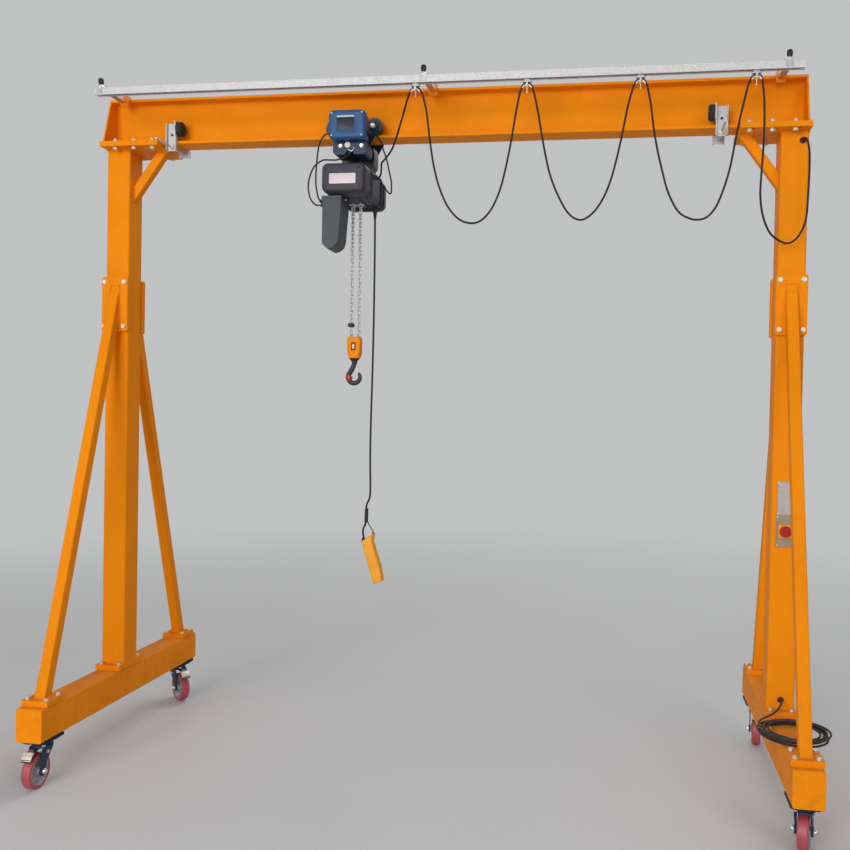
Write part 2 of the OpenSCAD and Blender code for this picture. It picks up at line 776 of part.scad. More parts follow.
// From the gland down to the coil's outer turn, measured from the gland's face
SUPPLY_ROUTE = [
    [0, 0, 0], [0, -14, 0], [-7, -38, -7], [-24, -62, -23], [-48, -84, -39], [-76, -102, -49],
    [-102, -120, -52.5], [-116, -136, -52.7],
];
coil_entry = [-0.8, 0.6, 0];

module supply_cord() {
    gland = [span / 2, -column_w / 2 - 14, outlet_z];
    joint = [coil_x, coil_y, coil_z + coil_tube / 2] + coil_entry * (coil_r + 15);
    color(BLACK) cable(concat([for (q = SUPPLY_ROUTE) gland + q], [joint + coil_entry * 12, joint]),
        supply_d, [1, 0, 0], [[0, -1, 0], -coil_entry]);
}

// Outer shape of the coiled turns
module supply_coil() {
    color(BLACK) translate([coil_x, coil_y, coil_z + coil_tube / 2])
        rotate_extrude($fn = 64) translate([coil_r, 0]) rounded_rect(30, coil_tube, 9);
}

// Side plates of the trolley, bossed at the axles, with the two cross shafts that carry the hoist
module trolley_frame() {
    half = side_plate_l / 2;
    top = trolley_axle_z + 30;
    color(BLUE) translate([trolley_x, 0, 0]) {
        for (t = [-1, 1])
            mirror([0, t > 0 ? 0 : 1, 0]) translate([0, side_y, 0])
                difference() {
                    union() {
                        translate([0, side_plate_t, 0]) rotate([90, 0, 0]) linear_extrude(side_plate_t)
                            polygon([[-half + 12, top], [half - 12, top], [half, top - 12], [half, top - 54],
                                     [half - 8, top - 62], [72, girder_z - 56], [64, girder_z - 62],
                                     [-64, girder_z - 62], [-72, girder_z - 56], [-half + 8, top - 62],
                                     [-half, top - 54], [-half, top - 12]]);
                        for (x = [-1, 1])
                            translate([x * trolley_base / 2, side_plate_t - 1, trolley_axle_z]) rotate([-90, 0, 0])
                                cylinder(d1 = 40, d2 = 34, h = 6, $fn = 40);
                    }
                    for (x = [-1, 1])
                        translate([x * trolley_base / 2, -1, trolley_axle_z]) rotate([-90, 0, 0])
                            cylinder(d = 18 + 2 * FIT, h = side_plate_t + 8, $fn = 32);
                    translate([0, -1, trolley_axle_z]) rotate([-90, 0, 0])
                        cylinder(d = 24 + 2 * FIT, h = side_plate_t + 2, $fn = 32);
                }
        for (x = [-1, 1])
            translate([x * shaft_pitch, -side_y - side_plate_t - 6, shaft_z]) rotate([-90, 0, 0])
                cylinder(d = shaft_d, h = 2 * (side_y + side_plate_t + 6), $fn = 32);
    }
}

shaft_z = girder_z - 34;

// Outline of a spur gear: root, tip, tip, root for each tooth, with one tooth along +X
function gear_outline(teeth) =
    [for (k = [0:teeth - 1]) for (c = [[-0.31, -1.25], [-0.14, 1], [0.14, 1], [0.31, -1.25]])
        gear_m * (teeth / 2 + c[1]) * [cos((k + c[0]) * 360 / teeth), sin((k + c[0]) * 360 / teeth)]];

// Four flanged wheels, the toothed rims of the driven pair and the gear between them
module trolley_wheels() {
    rim_y = -61.3;
    rim_t = side_y - 2 + rim_y;
    color([0.12, 0.12, 0.13]) translate([trolley_x, 0, trolley_axle_z]) {
        for (x = [-1, 1], t = [-1, 1])
            translate([x * trolley_base / 2, 0, 0]) rotate([-90 * t, 0, 0])
                rotate_extrude($fn = 56)
                    polygon([[0, 27], [30, 27], [35, 28.5], [35, 57], [41, 59], [41, 61], [14, 61], [14, side_y - 2],
                             [9, side_y - 2], [9, side_y + side_plate_t + 8], [0, side_y + side_plate_t + 8]]);
        for (x = [-1, 1])
            translate([x * trolley_base / 2, rim_y, 0]) rotate([90, 0, 0]) linear_extrude(rim_t)
                difference() {
                    polygon(gear_outline(rim_teeth));
                    circle(r = 14 + FIT, $fn = 48);
                }
        translate([0, rim_y, 0]) rotate([90, 0, 0]) {
            linear_extrude(rim_t) rotate(180 / mid_teeth) polygon(gear_outline(mid_teeth));
            cylinder(d = 24, h = side_y + side_plate_t + rim_y - FIT, $fn = 40);
        }
    }
}

// Control box of the trolley drive: bevelled lid, body and a recessed panel
module drive_box() {
    color(BLUE) translate([drive_x, -250, girder_z + 5]) {
        difference() {
            union() {
                translate([0, 30, 0]) face_slab(box_w - 6, box_h - 6, box_d - 30, 20);
                translate([0, 16, 0]) face_slab(box_w, box_h, 15, 22);
                translate([0, 8, 0]) face_slab(box_w - 8, box_h - 8, 9, 20);
                face_slab(box_w - 20, box_h - 20, 9, 18);
            }
            translate([-4, -1, -2]) face_slab(80, 56, 4, 6);
        }
    }
}

// Round barrel with straight fins along it
module finned_circle(r, fins, depth) {
    circle(r = r - depth, $fn = 64);
    for (k = [0:fins - 1]) rotate(k * 360 / fins) translate([r - depth - 2, -1.5]) square([depth + 2, 3]);
}

// Gear case on the side plate, finned motor up to the box, and the cable clamp's block under it
module drive_motor() {
    case_y = -side_y - side_plate_t - FIT;
    motor_z = girder_z + 12;
    color(BLUE) difference() {
        union() {
            translate([0, case_y, 0]) rotate([90, 0, 0]) linear_extrude(22) {
                translate([trolley_x, trolley_axle_z]) circle(r = 26, $fn = 48);
                translate([drive_x, motor_z]) circle(r = 50, $fn = 64);
                polygon([[trolley_x - 24, trolley_axle_z - 6], [trolley_x + 6, trolley_axle_z + 24],
                         [drive_x + 30, motor_z + 36], [drive_x - 42, motor_z - 20]]);
            }
            translate([drive_x, case_y - 20, motor_z]) rotate([90, 0, 0])
                linear_extrude(172 + case_y - 20) finned_circle(48, 24, 6);
            translate([drive_x, -200, 0]) {
                translate([0, 100, girder_z - 87]) rotate([90, 0, 0]) linear_extrude(100)
                    difference() {
                        rounded_rect(155, 60, 16);
                        translate([0, -34]) circle(r = 22, $fn = 48);
                    }
                translate([-60, 28, girder_z - 62]) cube([120, 72, 44]);
            }
        }
        // relief round the end of the cross shafts
        for (x = [-1, 1])
            translate([trolley_x + x * shaft_pitch, case_y + 1, shaft_z]) rotate([90, 0, 0])
                cylinder(d = shaft_d + 8, h = 10, $fn = 32);
    }
}

// Cast lug between the cross shafts and the hoist
module suspension() {
    color(CHARCOAL) translate([trolley_x, 0, 0])
        difference() {
            translate([0, 34, 0]) rotate([90, 0, 0]) linear_extrude(68)
                polygon([[-66, shaft_z + 16], [66, shaft_z + 16], [86, shaft_z - 6], [92, shaft_z - 40],
                         [90, hoist_top + 24], [78, hoist_top + 6], [60, hoist_top], [-60, hoist_top],
                         [-74, shaft_z - 20]]);
            for (x = [-1, 1])
                translate([x * shaft_pitch, -40, shaft_z]) rotate([-90, 0, 0])
                    cylinder(d = shaft_d + 2 * FIT, h = 80, $fn = 32);
        }
}

hoist_mid = hoist_z + hoist_h / 2;
body_y = -100;
motor_y = body_y + body_d;

// Slab outline with straight fins all round, standing out from a smaller core
module finned_rect(w, h, r, pitch) {
    rounded_rect(w - 2 * fin, h - 2 * fin, r - fin);
    intersection() {
        rounded_rect(w, h, r);
        union() {
            for (x = [-floor((w / 2 - 8) / pitch):floor((w / 2 - 8) / pitch)])
                translate([x * pitch - 1.5, -h / 2]) square([3, h]);
            for (z = [-floor((h / 2 - 8) / pitch):floor((h / 2 - 8) / pitch)])
                translate([-w / 2, z * pitch - 1.5]) square([w, 3]);
        }
    }
}

// Ribbed casting between two seams, with the chain's two guide holes under it
module hoist_body() {
    color([0.30, 0.31, 0.33]) translate([trolley_x, 0, 0])
        difference() {
            union() {
                translate([0, body_y, hoist_mid]) face_slab(hoist_w - 4, hoist_h, 9, 31);
                translate([0, body_y + 8, hoist_mid]) face_slab(hoist_w - 18, hoist_h - 8, body_d - 16, 26);
                translate([0, motor_y - 9, hoist_mid]) face_slab(hoist_w - 4, hoist_h, 9, 31);
                translate([-34, body_y + 8, hoist_z]) cube([68, body_d - 16, 30]);
                translate([-64, -38, hoist_mid]) cube([128, 76, hoist_h / 2]);
                for (x = [-84, -62, -40, 40, 62, 84])
                    translate([x - 2, body_y + 8, hoist_z + 2]) cube([4, body_d - 16, hoist_h - 4]);
            }
            for (x = [-1, 1])
                translate([x * chain_gap / 2, 0, hoist_z - 1])
                    cylinder(d = link_w + 2 * GUIDE, h = 40, $fn = 32);
        }
}

// Pressed cover of the control side, stepped back in a broad bevel to its rim
module hoist_cover() {
    color(CHARCOAL) translate([trolley_x - 4, body_y - cover_d, hoist_mid]) {
        translate([0, cover_d - 12, 0]) face_slab(hoist_w, hoist_h - 4, 12, 28);
        translate([0, 20, 0]) face_slab(hoist_w - 6, hoist_h - 10, cover_d - 31, 28);
        translate([0, 10, 0]) face_slab(hoist_w - 14, hoist_h - 20, 11, 26);
        translate([-3, 0, 2]) face_slab(hoist_w - 30, hoist_h - 36, 11, 22);
    }
}

// Finned motor and the round-cornered cap of its brake
module hoist_motor() {
    color(CHARCOAL) translate([trolley_x - 4, motor_y, hoist_mid]) {
        translate([0, motor_d - 36, 0]) rotate([90, 0, 0])
            linear_extrude(motor_d - 36) finned_rect(hoist_w - 24, hoist_h - 4, 24, 14);
        translate([0, motor_d - 37, 0]) face_slab(hoist_w - 18, hoist_h - 2, 30, 30);
        translate([0, motor_d - 8, 0]) face_slab(hoist_w - 30, hoist_h - 14, 10, 26);
        translate([0, motor_d + 1, 0]) face_slab(hoist_w - 52, hoist_h - 36, 7, 20);
        // boss for the pendant's cord
        translate([pendant_x - trolley_x + 4, 20, -hoist_h / 2 + 2]) cylinder(d = 26, h = 20, $fn = 32);
    }
}

pendant_x = trolley_x + 63;

// Moulded chain bucket with a rolled rim, tapered to a slanted bottom
module chain_container() {
    front = -170;
    depth = 120;
    color(CHARCOAL) translate([trolley_x - 112, front + depth, hoist_z - FIT])
        difference() {
            union() {
                rotate([90, 0, 0]) linear_extrude(depth) bucket_outline(0);
                translate([-3, -depth - 3, -12]) cube([93, depth + 6, 12]);
            }
            translate([0, -4, 0]) rotate([90, 0, 0]) linear_extrude(depth - 8) bucket_outline(4);
        }
}

// Front outline of the bucket, drawn in by its wall and open past the rim
module bucket_outline(wall) {
    top = wall > 0 ? 2 : 0;
    low = -bucket_h;
    polygon([[wall, top], [87 - wall, top], [87 - wall, -56], [76 - 0.95 * wall, low + 44 + 0.35 * wall],
             [68 - 0.75 * wall, low + 22 + 0.6 * wall], [52 - 0.4 * wall, low + 8 + wall],
             [26 + 0.25 * wall, low + 1.25 * wall], [wall, low + 24 + 0.5 * wall]]);
}

// One link in the plane of x and z
module link(w) {
    bend = link_bend;
    reach = chain_pitch / 2 + 0.2 - (bend - w / 2);
    for (s = [-1, 1]) {
        translate([s * bend, 0, -reach]) cylinder(d = w, h = 2 * reach, $fn = 20);
        translate([0, 0, s * reach]) rotate([90, 0, 0]) rotate([0, 0, s > 0 ? 0 : 180])
            rotate_extrude(angle = 180, $fn = 32) translate([bend, 0]) circle(d = w, $fn = 20);
    }
}

module load_chain() {
    color(GALV) for (x = [-1, 1])
        translate([trolley_x + x * chain_gap / 2, 0, chain_top]) for (i = [0:chain_links - 1])
            translate([0, 0, -i * chain_pitch]) rotate([0, 0, 45 + 90 * ((i + (x > 0 ? 1 : 0)) % 2)])
                link(chain_wire);
}

// Closed block with a guide hole for each fall of chain and a bore for the hook's shank
module hook_block() {
    color(ORANGE) translate([trolley_x, 0, 0])
        difference() {
            translate([0, block_d / 2, 0]) rotate([90, 0, 0]) linear_extrude(block_d)
                polygon([[-30, block_top], [30, block_top], [block_w / 2, block_top - 16],
                         [block_w / 2, block_z + 30], [24, block_z], [-24, block_z],
                         [-block_w / 2, block_z + 30], [-block_w / 2, block_top - 16]]);
            translate([-block_w / 2 + 8, -14, cavity_z])
                cube([block_w - 16, 28, block_top - block_roof - cavity_z]);
            for (x = [-1, 1])
                translate([x * chain_gap / 2, 0, block_top - block_roof - 1])
                    cylinder(d = link_w + 2 * GUIDE, h = block_roof + 2, $fn = 32);
            translate([0, 0, block_z - 1]) cylinder(d = shank_d + 2 * FIT, h = 40, $fn = 32);
        }
}

module chain_stopper() {
    color(BLACK) translate([trolley_x - chain_gap / 2, 0, block_top + 46])
        difference() {
            cylinder(d = 32, h = 22, $fn = 40);
            translate([0, 0, -1]) cylinder(d = link_w + 2 * GUIDE, h = 24, $fn = 32);
        }
}

hook_z = block_z - 89;
shank_d = 22;
LATCH_PIN = [8, 50];

// Forged hook: shank with its shoulder, neck, bowl and tip, and the lug for the latch
module hook() {
    root = [hook_r * cos(130), hook_r * sin(130)];
    tip = [hook_r * cos(30), hook_r * sin(30)];
    color(CHARCOAL) translate([trolley_x, 0, 0]) {
        translate([0, 0, cavity_z + 0.5]) cylinder(d = 26, h = 6, $fn = 32);
        translate([0, 0, hook_z + 58]) cylinder(d = shank_d, h = cavity_z + 1 - hook_z - 58, $fn = 40);
        translate([0, 0, hook_z + 64]) cylinder(d = 32, h = block_z - hook_z - 66, $fn = 40);
        translate([0, 0, hook_z]) {
            rotate([90, 0, 0]) rotate([0, 0, 130]) rotate_extrude(angle = 260, $fn = 64)
                translate([hook_r, 0]) circle(d = hook_wire, $fn = 32);
            for (p = [root, tip]) translate([p[0], 0, p[1]]) sphere(d = hook_wire + 0.8, $fn = 32);
            translate([root[0], 0, root[1]]) rotate([0, 28, 0]) cylinder(d = 16, h = 45, $fn = 32);
            translate([LATCH_PIN[0], 3, LATCH_PIN[1]]) rotate([90, 0, 0]) cylinder(d = 9, h = 6, $fn = 32);
            translate([LATCH_PIN[0] - 8, -3, LATCH_PIN[1] - 3]) cube([8, 6, 6]);
            translate([LATCH_PIN[0], 7, LATCH_PIN[1]]) rotate([90, 0, 0]) cylinder(d = 4, h = 14, $fn = 24);
        }
    }
}

// Sprung keeper across the hook's throat
module hook_latch() {
    color(GALV) translate([trolley_x, 0, hook_z]) {
        for (y = [-3.3, 5.3])
            translate([0, y, 0]) rotate([90, 0, 0]) linear_extrude(2)
                difference() {
                    union() {
                        translate(LATCH_PIN) circle(d = 9, $fn = 32);
                        polygon([[4.6, 47.2], [11.2, 53.2], [19, 38.5], [14.4, 35.6]]);
                    }
                    translate(LATCH_PIN) circle(d = 4.2, $fn = 24);
                }
        translate([0, 5.3, 0]) rotate([90, 0, 0]) linear_extrude(10.6)
            polygon([[11.6, 39.6], [14.2, 41.6], [25.2, 26.4], [22.4, 24.4]]);
    }
}

// Cable carrier: runner in the rail, neck through its slot, and a half-round saddle
module carrier(x) {
    translate([x, -rail_y, 0]) {
        translate([-carrier_w / 2, -10, rail_z + rail_wall + FIT]) cube([carrier_w, 20, 18]);
        translate([-14, -4, saddle_z]) cube([28, 8, rail_z + rail_wall + 2 - saddle_z]);
        translate([-carrier_w / 2, -rail_w / 2, saddle_z]) cube([carrier_w, rail_w, 6]);
        translate([0, 9, saddle_z - saddle_r - cable_d + 1.5]) rotate([90, 0, 0])
            difference() {
                cylinder(r = saddle_r - 2.5, h = 18, $fn = 48);
                translate([-40, -80, -1]) cube([80, 80, 30]);
            }
        // straps on both sides of the cable, and the screw that hangs from the saddle
        for (y = [-8.8, 5.8]) translate([-5, y, saddle_z - cable_d - 10]) cube([10, 3, cable_d + 11]);
        translate([0, 0, saddle_z - 52]) cylinder(d = 6, h = 30, $fn = 24);
        translate([0, 0, saddle_z - 50]) cylinder(d = 11, h = 5, $fn = 6);
    }
}

module carrier_1() { color(GALV) carrier(carrier_x[0]); }
module carrier_2() { color(GALV) carrier(carrier_x[1]); }
module carrier_3() { color(GALV) carrier(carrier_x[2]); }
module carrier_4() { color(GALV) carrier(carrier_x[3]); }

CABLE_TOP = saddle_z - cable_d / 2 - FIT;
bend_r = saddle_r + 4;

// Hanging cable between two carriers: [share of the way, drop below the girder's top]
LOOP_1 = [
    [0.073, 118], [0.106, 190], [0.134, 290], [0.171, 400], [0.224, 500], [0.305, 590],
    [0.411, 650], [0.526, 670], [0.622, 656], [0.711, 605], [0.78, 525], [0.829, 425], [0.87, 315],
    [0.902, 210], [0.935, 118],
];
LOOP_2 = [
    [0.066, 118], [0.098, 185], [0.133, 274], [0.172, 370], [0.224, 470], [0.303, 562],
    [0.398, 636], [0.502, 662], [0.602, 636], [0.693, 575], [0.759, 495], [0.809, 400],
    [0.851, 300], [0.888, 200], [0.929, 118],
];
LOOP_3 = [
    [0.068, 118], [0.097, 190], [0.127, 288], [0.165, 380], [0.207, 460], [0.262, 550],
    [0.351, 630], [0.444, 660], [0.529, 668], [0.609, 656], [0.681, 615], [0.74, 545], [0.795, 450],
    [0.841, 320], [0.888, 205], [0.93, 118],
];
// From the hoist's side up to the first carrier: [share of the way in X, share of the rail's distance, drop]
FEED_ROUTE = [
    [0, 0.113, 405], [0.056, 0.117, 403], [0.118, 0.165, 388], [0.155, 0.256, 370],
    [0.196, 0.361, 350], [0.278, 0.406, 334], [0.413, 0.451, 297], [0.536, 0.556, 245],
    [0.635, 0.684, 205], [0.733, 0.812, 164], [0.819, 0.925, 124], [0.877, 0.985, 98],
];
// From the last carrier to the column's gland, measured from the column's middle and the girder's top
TAIL_ROUTE = [
    [-166, -266, -118], [-163, -266, -190], [-161, -266, -290], [-163, -264, -390],
    [-167, -256, -490], [-166, -240, -570], [-150, -215, -645], [-118, -190, -708],
    [-72, -165, -740], [-28, -145, -746], [14, -128, -710], [42, -118, -640], [50, -112, -536],
    [53, -110, -430], [51, -112, -350], [42, -112, -304], [34, -100, -288], [32, -88, -286],
    [32, -74, -286],
];

function over_saddle(x, s) = [for (a = [0, 26, 52]) [x + s * (0.15 + bend_r * sin(a)), -rail_y,
    CABLE_TOP - bend_r * (1 - cos(a))]];
function backwards(p) = [for (i = [len(p) - 1:-1:0]) p[i]];
function loop_route(a, p, b) = concat(over_saddle(a, 1),
    [for (q = p) [a + q[0] * (b - a), -rail_y, height - q[1]]], backwards(over_saddle(b, -1)));
feed_x = trolley_x + 97.3;
ALONG = [[1, 0, 0], [1, 0, 0]];

module festoon_cable_1() {
    color(BLACK) cable(concat(
        [for (q = FEED_ROUTE) [feed_x + q[0] * (carrier_x[0] - feed_x), -q[1] * rail_y, height - q[2]]],
        backwards(over_saddle(carrier_x[0], -1))), cable_d, [0, 1, 0.4], ALONG);
}
module festoon_cable_2() {
    color(BLACK) cable(loop_route(carrier_x[0], LOOP_1, carrier_x[1]), cable_d, ends = ALONG);
}
module festoon_cable_3() {
    color(BLACK) cable(loop_route(carrier_x[1], LOOP_2, carrier_x[2]), cable_d, ends = ALONG);
}
module festoon_cable_4() {
    color(BLACK) cable(loop_route(carrier_x[2], LOOP_3, carrier_x[3]), cable_d, ends = ALONG);
}
module festoon_cable_5() {
    color(BLACK) cable(concat(over_saddle(carrier_x[3], 1), [for (q = TAIL_ROUTE) [span / 2 + q[0], q[1], height + q[2]]]),
        cable_d, [-1, 1, 0.2], [[1, 0, 0], [0, 1, 0]]);
}

// Jumpers between the control box, the clamp block and the hoist, from the trolley's middle and the girder's top
JUMPER_LEFT = [
    [22, -192, -319.3], [21, -192, -328], [14, -193, -339], [1, -193, -348], [-19, -190, -354],
    [-51, -182, -356], [-87, -172, -352], [-119, -162, -351], [-161, -158, -380],
    [-185, -158, -450], [-179, -154, -514], [-155, -148, -548], [-129, -146, -552],
    [-112.3, -146, -552],
];
JUMPER_INNER = [
    [-58.3, -200, -240], [-75, -200, -240], [-97, -198, -248], [-123, -192, -285],
    [-135, -188, -358], [-140, -184, -452], [-135, -172, -510], [-127, -166, -532],
    [-112.3, -164, -538],
];
JUMPER_RIGHT = [
    [102.3, -186, -238], [115, -185, -237], [133, -165, -242], [146, -120, -259], [160, -124, -300],
    [173, -123, -335], [185, -114, -390], [193, -100, -439], [191, -90, -482], [181, -84, -488],
    [163, -80, -468], [135, -80, -427], [115, -80, -408], [97.3, -80, -406],
];

function from_trolley(p) = [for (q = p) [trolley_x + q[0], q[1], height + q[2]]];

module jumper_cables() {
    color(BLACK) {
        cable(from_trolley(JUMPER_LEFT), 8, ends = [[0, 0, -1], [1, 0, 0]]);
        cable(from_trolley(JUMPER_INNER), 8, ends = [[-1, 0, 0], [1, 0, 0]]);
        cable(from_trolley(JUMPER_RIGHT), 8, ends = [[1, 0, 0], [-1, 0, 0]]);
    }
}

// Pendant's cord, from the motor's boss to the handset's collar
PENDANT_ROUTE = [
    [63, 90, -512.3], [63, 90, -540], [64, 89, -610], [66, 87, -730], [67, 85, -870],
    [68, 83, -1010], [68, 81, -1170], [67, 79, -1330], [65, 77, -1490], [64, 76, -1630],
    [65, 75, -1750], [68, 75, -1860], [67, 75, -1910], [59, 75, -1936], [51, 75, -1954],
    [50, 75, -1976], [50, 75, -2006], [50, 75, -2034], [45, 75, -2052], [36, 75, -2072],
    [35, 75, -2094], [38, 75, -2106], [38, 75, -2115.7],
];
STRAIN_ROUTE = [
    [57.4, 75, -1990], [57.4, 75, -2010], [57.4, 75, -2032], [64, 75, -2050], [77, 75, -2070], [86, 75, -2082],
    [86, 75, -2085.7],
];

// The cord, and the strain wire from it to the handset's eye
module pendant_cord() {
    color(BLACK) {
        cable(from_trolley(PENDANT_ROUTE), pendant_d, [0, 1, 0], [[0, 0, -1], [0, 0, -1]]);
        cable(from_trolley(STRAIN_ROUTE), 3.2, ends = [[0, 0, -1], [0, 0, -1]]);
    }
}

// Push-button handset, hung askew: slanted collar, tapered body, guards of the buttons on its far side
module pendant() {
    color(YELLOW) translate([trolley_x + 89, 75, height - 2225]) {
        translate([0, 25, 0]) rotate([90, 0, 0]) linear_extrude(50)
            polygon([[-54, 92], [-50, 98], [-6, 130], [0, 132], [2, 126], [-2, 92], [38, -28], [50, -90],
                     [48, -97], [12, -110], [6, -107], [-22, -16]]);
        translate([-51, 0, 70]) cylinder(d = 17, h = 39, $fn = 32);
        translate([-3, 3, 134]) rotate([90, 0, 0]) cylinder(d = 10, h = 6, $fn = 24);
        for (k = [0:4])
            translate([-15 + 9.6 * k, 24, 50 - 31 * k]) rotate([-90, 0, 0]) cylinder(d = k == 0 ? 30 : 24, h = 4, $fn = 32);
    }
}

girder();
girder_ends();
column_left();
column_right();
head_plates();
column_feet();
knee_braces();
braces_left();
braces_right();
brace_plates();
base_beam_left();
base_beam_right();
beam_pads();
caster_plates();
caster_fork_left_front();
caster_fork_left_rear();
caster_fork_right_front();
caster_fork_right_rear();
caster_wheel_left_front();
caster_wheel_left_rear();
caster_wheel_right_front();
caster_wheel_right_rear();
trolley_stops();
stop_buffers();
festoon_rail();
rail_brackets();
rail_knobs();
nameplate();
switch_plate();
isolator_knob();
cable_glands();
supply_cord();
supply_coil();
trolley_frame();
trolley_wheels();
drive_box();
drive_motor();
suspension();
hoist_body();
hoist_cover();
hoist_motor();
chain_container();
jumper_cables();
pendant_cord();
pendant();
load_chain();
hook_block();
chain_stopper();
hook();
hook_latch();
carrier_1();
carrier_2();
carrier_3();
carrier_4();
festoon_cable_1();
festoon_cable_2();
festoon_cable_3();
festoon_cable_4();
festoon_cable_5();
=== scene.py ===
"""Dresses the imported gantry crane: finishes, cables, chain, welds, fasteners, casters and stage.

Everything is in metres in the frame's own axes: X along the girder, Y away from the viewer, Z up.
A shape is a pair (points, faces); the functions in "Shapes" make them as whole numpy arrays.
"""

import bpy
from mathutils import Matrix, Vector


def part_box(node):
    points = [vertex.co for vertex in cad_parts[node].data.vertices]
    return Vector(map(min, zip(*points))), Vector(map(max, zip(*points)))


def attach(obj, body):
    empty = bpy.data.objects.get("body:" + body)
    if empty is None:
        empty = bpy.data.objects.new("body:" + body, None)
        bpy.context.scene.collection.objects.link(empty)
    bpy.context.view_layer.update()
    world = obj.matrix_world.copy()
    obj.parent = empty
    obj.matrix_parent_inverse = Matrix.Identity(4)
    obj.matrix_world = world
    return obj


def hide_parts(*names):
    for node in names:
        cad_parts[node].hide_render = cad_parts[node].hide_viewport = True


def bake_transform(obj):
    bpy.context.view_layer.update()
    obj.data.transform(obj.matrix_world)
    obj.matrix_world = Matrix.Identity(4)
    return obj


bl_info = {
    "name": "Rolling Gantry Crane",
    "version": (1, 0, 0),
    "blender": (4, 5, 0),
    "location": "View3D > Sidebar > Gantry Crane",
    "description": "Finishes, cables, chain, welds and fasteners of a rolling gantry crane",
    "category": "Object",
}

import bpy
import numpy as np
from bpy.props import FloatProperty, FloatVectorProperty, IntProperty, PointerProperty
from mathutils import Matrix

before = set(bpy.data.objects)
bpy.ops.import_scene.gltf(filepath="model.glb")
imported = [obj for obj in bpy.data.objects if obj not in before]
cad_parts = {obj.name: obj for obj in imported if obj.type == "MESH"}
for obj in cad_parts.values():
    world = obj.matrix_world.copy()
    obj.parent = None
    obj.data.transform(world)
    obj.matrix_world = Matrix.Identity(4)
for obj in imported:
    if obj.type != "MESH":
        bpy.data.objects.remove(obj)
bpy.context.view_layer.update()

X, Y, Z = np.eye(3)
TURN = 2 * np.pi


def low(node):
    """Lowest corner of a CAD node."""
    return np.array(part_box(node)[0])


def high(node):
    """Highest corner of a CAD node."""
    return np.array(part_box(node)[1])


def middle(node):
    """Middle of a CAD node's box."""
    return (low(node) + high(node)) / 2


# Places, from the frame
COLUMN_X = middle("column_right")[0]
COLUMN_HALF = (high("column_right")[0] - low("column_right")[0]) / 2
COLUMN_FOOT = low("column_left")[2]
COLUMN_HEAD = high("column_left")[2]
GIRDER_LOW = low("girder")[2]
GIRDER_TOP = high("girder")[2]
GIRDER_HALF_W = high("girder")[1]
BEAM_LOW = low("base_beam_left")[2]
BEAM_TOP = high("base_beam_left")[2]
BEAM_HALF_W = (high("base_beam_right")[0] - low("base_beam_right")[0]) / 2
HEAD_PLATE_X = high("head_plates")[0] - 0.15
BRACE_FOOT_Y = 0.588
BRACE_TOP_Z = 2.15
BRACE_FACE_Y = high("brace_plates")[1] - 0.566
CASTER_Y = 0.59
CASTER_HEIGHT = 0.198
WHEEL_R = high("caster_wheel_left_front")[2] / 2
CASTER_TRAIL = 0.042
CORNERS = {
    "left_front": (-1, -1, -88.0),
    "left_rear": (-1, 1, -38.0),
    "right_front": (1, -1, 74.0),
    "right_rear": (1, 1, -98.0),
}
TROLLEY_X = middle("trolley_frame")[0]
AXLE_Z = middle("trolley_wheels")[2]
BOX_X = middle("drive_box")[0]
BOX_Z = middle("drive_box")[2]
BOX_FRONT = low("drive_box")[1]
COVER_X = middle("hoist_cover")[0]
HOIST_LOW = low("hoist_body")[2]
HOIST_Z = middle("hoist_cover")[2]
COVER_FRONT = low("hoist_cover")[1]
COVER_BACK = high("hoist_cover")[1]
MOTOR_BACK = high("hoist_motor")[1]
BLOCK_TOP = high("hook_block")[2]
BLOCK_LOW = low("hook_block")[2]
HOOK_Z = BLOCK_LOW - 0.089
CHAIN_TOP = high("load_chain")[2] - 0.0127
CHAIN_PITCH = 0.019
CHAIN_GAP = 0.037
RAIL_Y = middle("festoon_rail")[1]
RAIL_TOP = high("festoon_rail")[2]
RAIL_LOW = low("festoon_rail")[2]
SADDLE_Z = RAIL_LOW - 0.014
CARRIER_X = [middle(f"carrier_{k}")[0] for k in (1, 2, 3, 4)]
BRACKET_X = [-COLUMN_X + 0.034, -0.02, COLUMN_X - 0.067]
STOP_X = [-COLUMN_X + 0.28, COLUMN_X - 0.312]
STOP_Y = GIRDER_HALF_W + 0.0003
ROD_Z = low("trolley_stops")[2] + 0.016
KNOB = middle("isolator_knob")
PLATE = middle("nameplate")
OUTLET_Z = COLUMN_FOOT + 0.042
GLAND_X = COLUMN_X + 0.032
GLAND_Z = COLUMN_HEAD - 0.042


# Sizes and colours a user would change
def length(name, value, about):
    """A length property, in metres."""
    return FloatProperty(name=name, description=about, default=value, unit="LENGTH")


class CraneSizes(bpy.types.PropertyGroup):
    """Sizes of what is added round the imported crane."""

    cord_length: length("Supply cord", 5.0, "Whole length of the supply cord")
    cord_d: length("Cord thickness", 0.009, "Diameter of the supply cord")
    cable_d: length("Festoon cable", 0.0088, "Diameter of the festoon cable")
    jumper_d: length("Jumper", 0.0072, "Diameter of the jumper cables")
    pendant_d: length("Pendant cord", 0.0095, "Diameter of the pendant's cord")
    chain_wire: length("Chain wire", 0.0063, "Thickness of the load chain's wire")
    chain_links: IntProperty(name="Links", description="Links in each fall", default=36, min=4)
    joint_bolt: length("Joint bolt", 0.0145, "Thread of the girder's joint bolts")
    weld: length("Weld", 0.007, "Leg of the fillet welds")


def colour(name, value, about):
    """A colour property."""
    return FloatVectorProperty(
        name=name, description=about, default=value, subtype="COLOR", size=3, min=0.0, max=1.0
    )


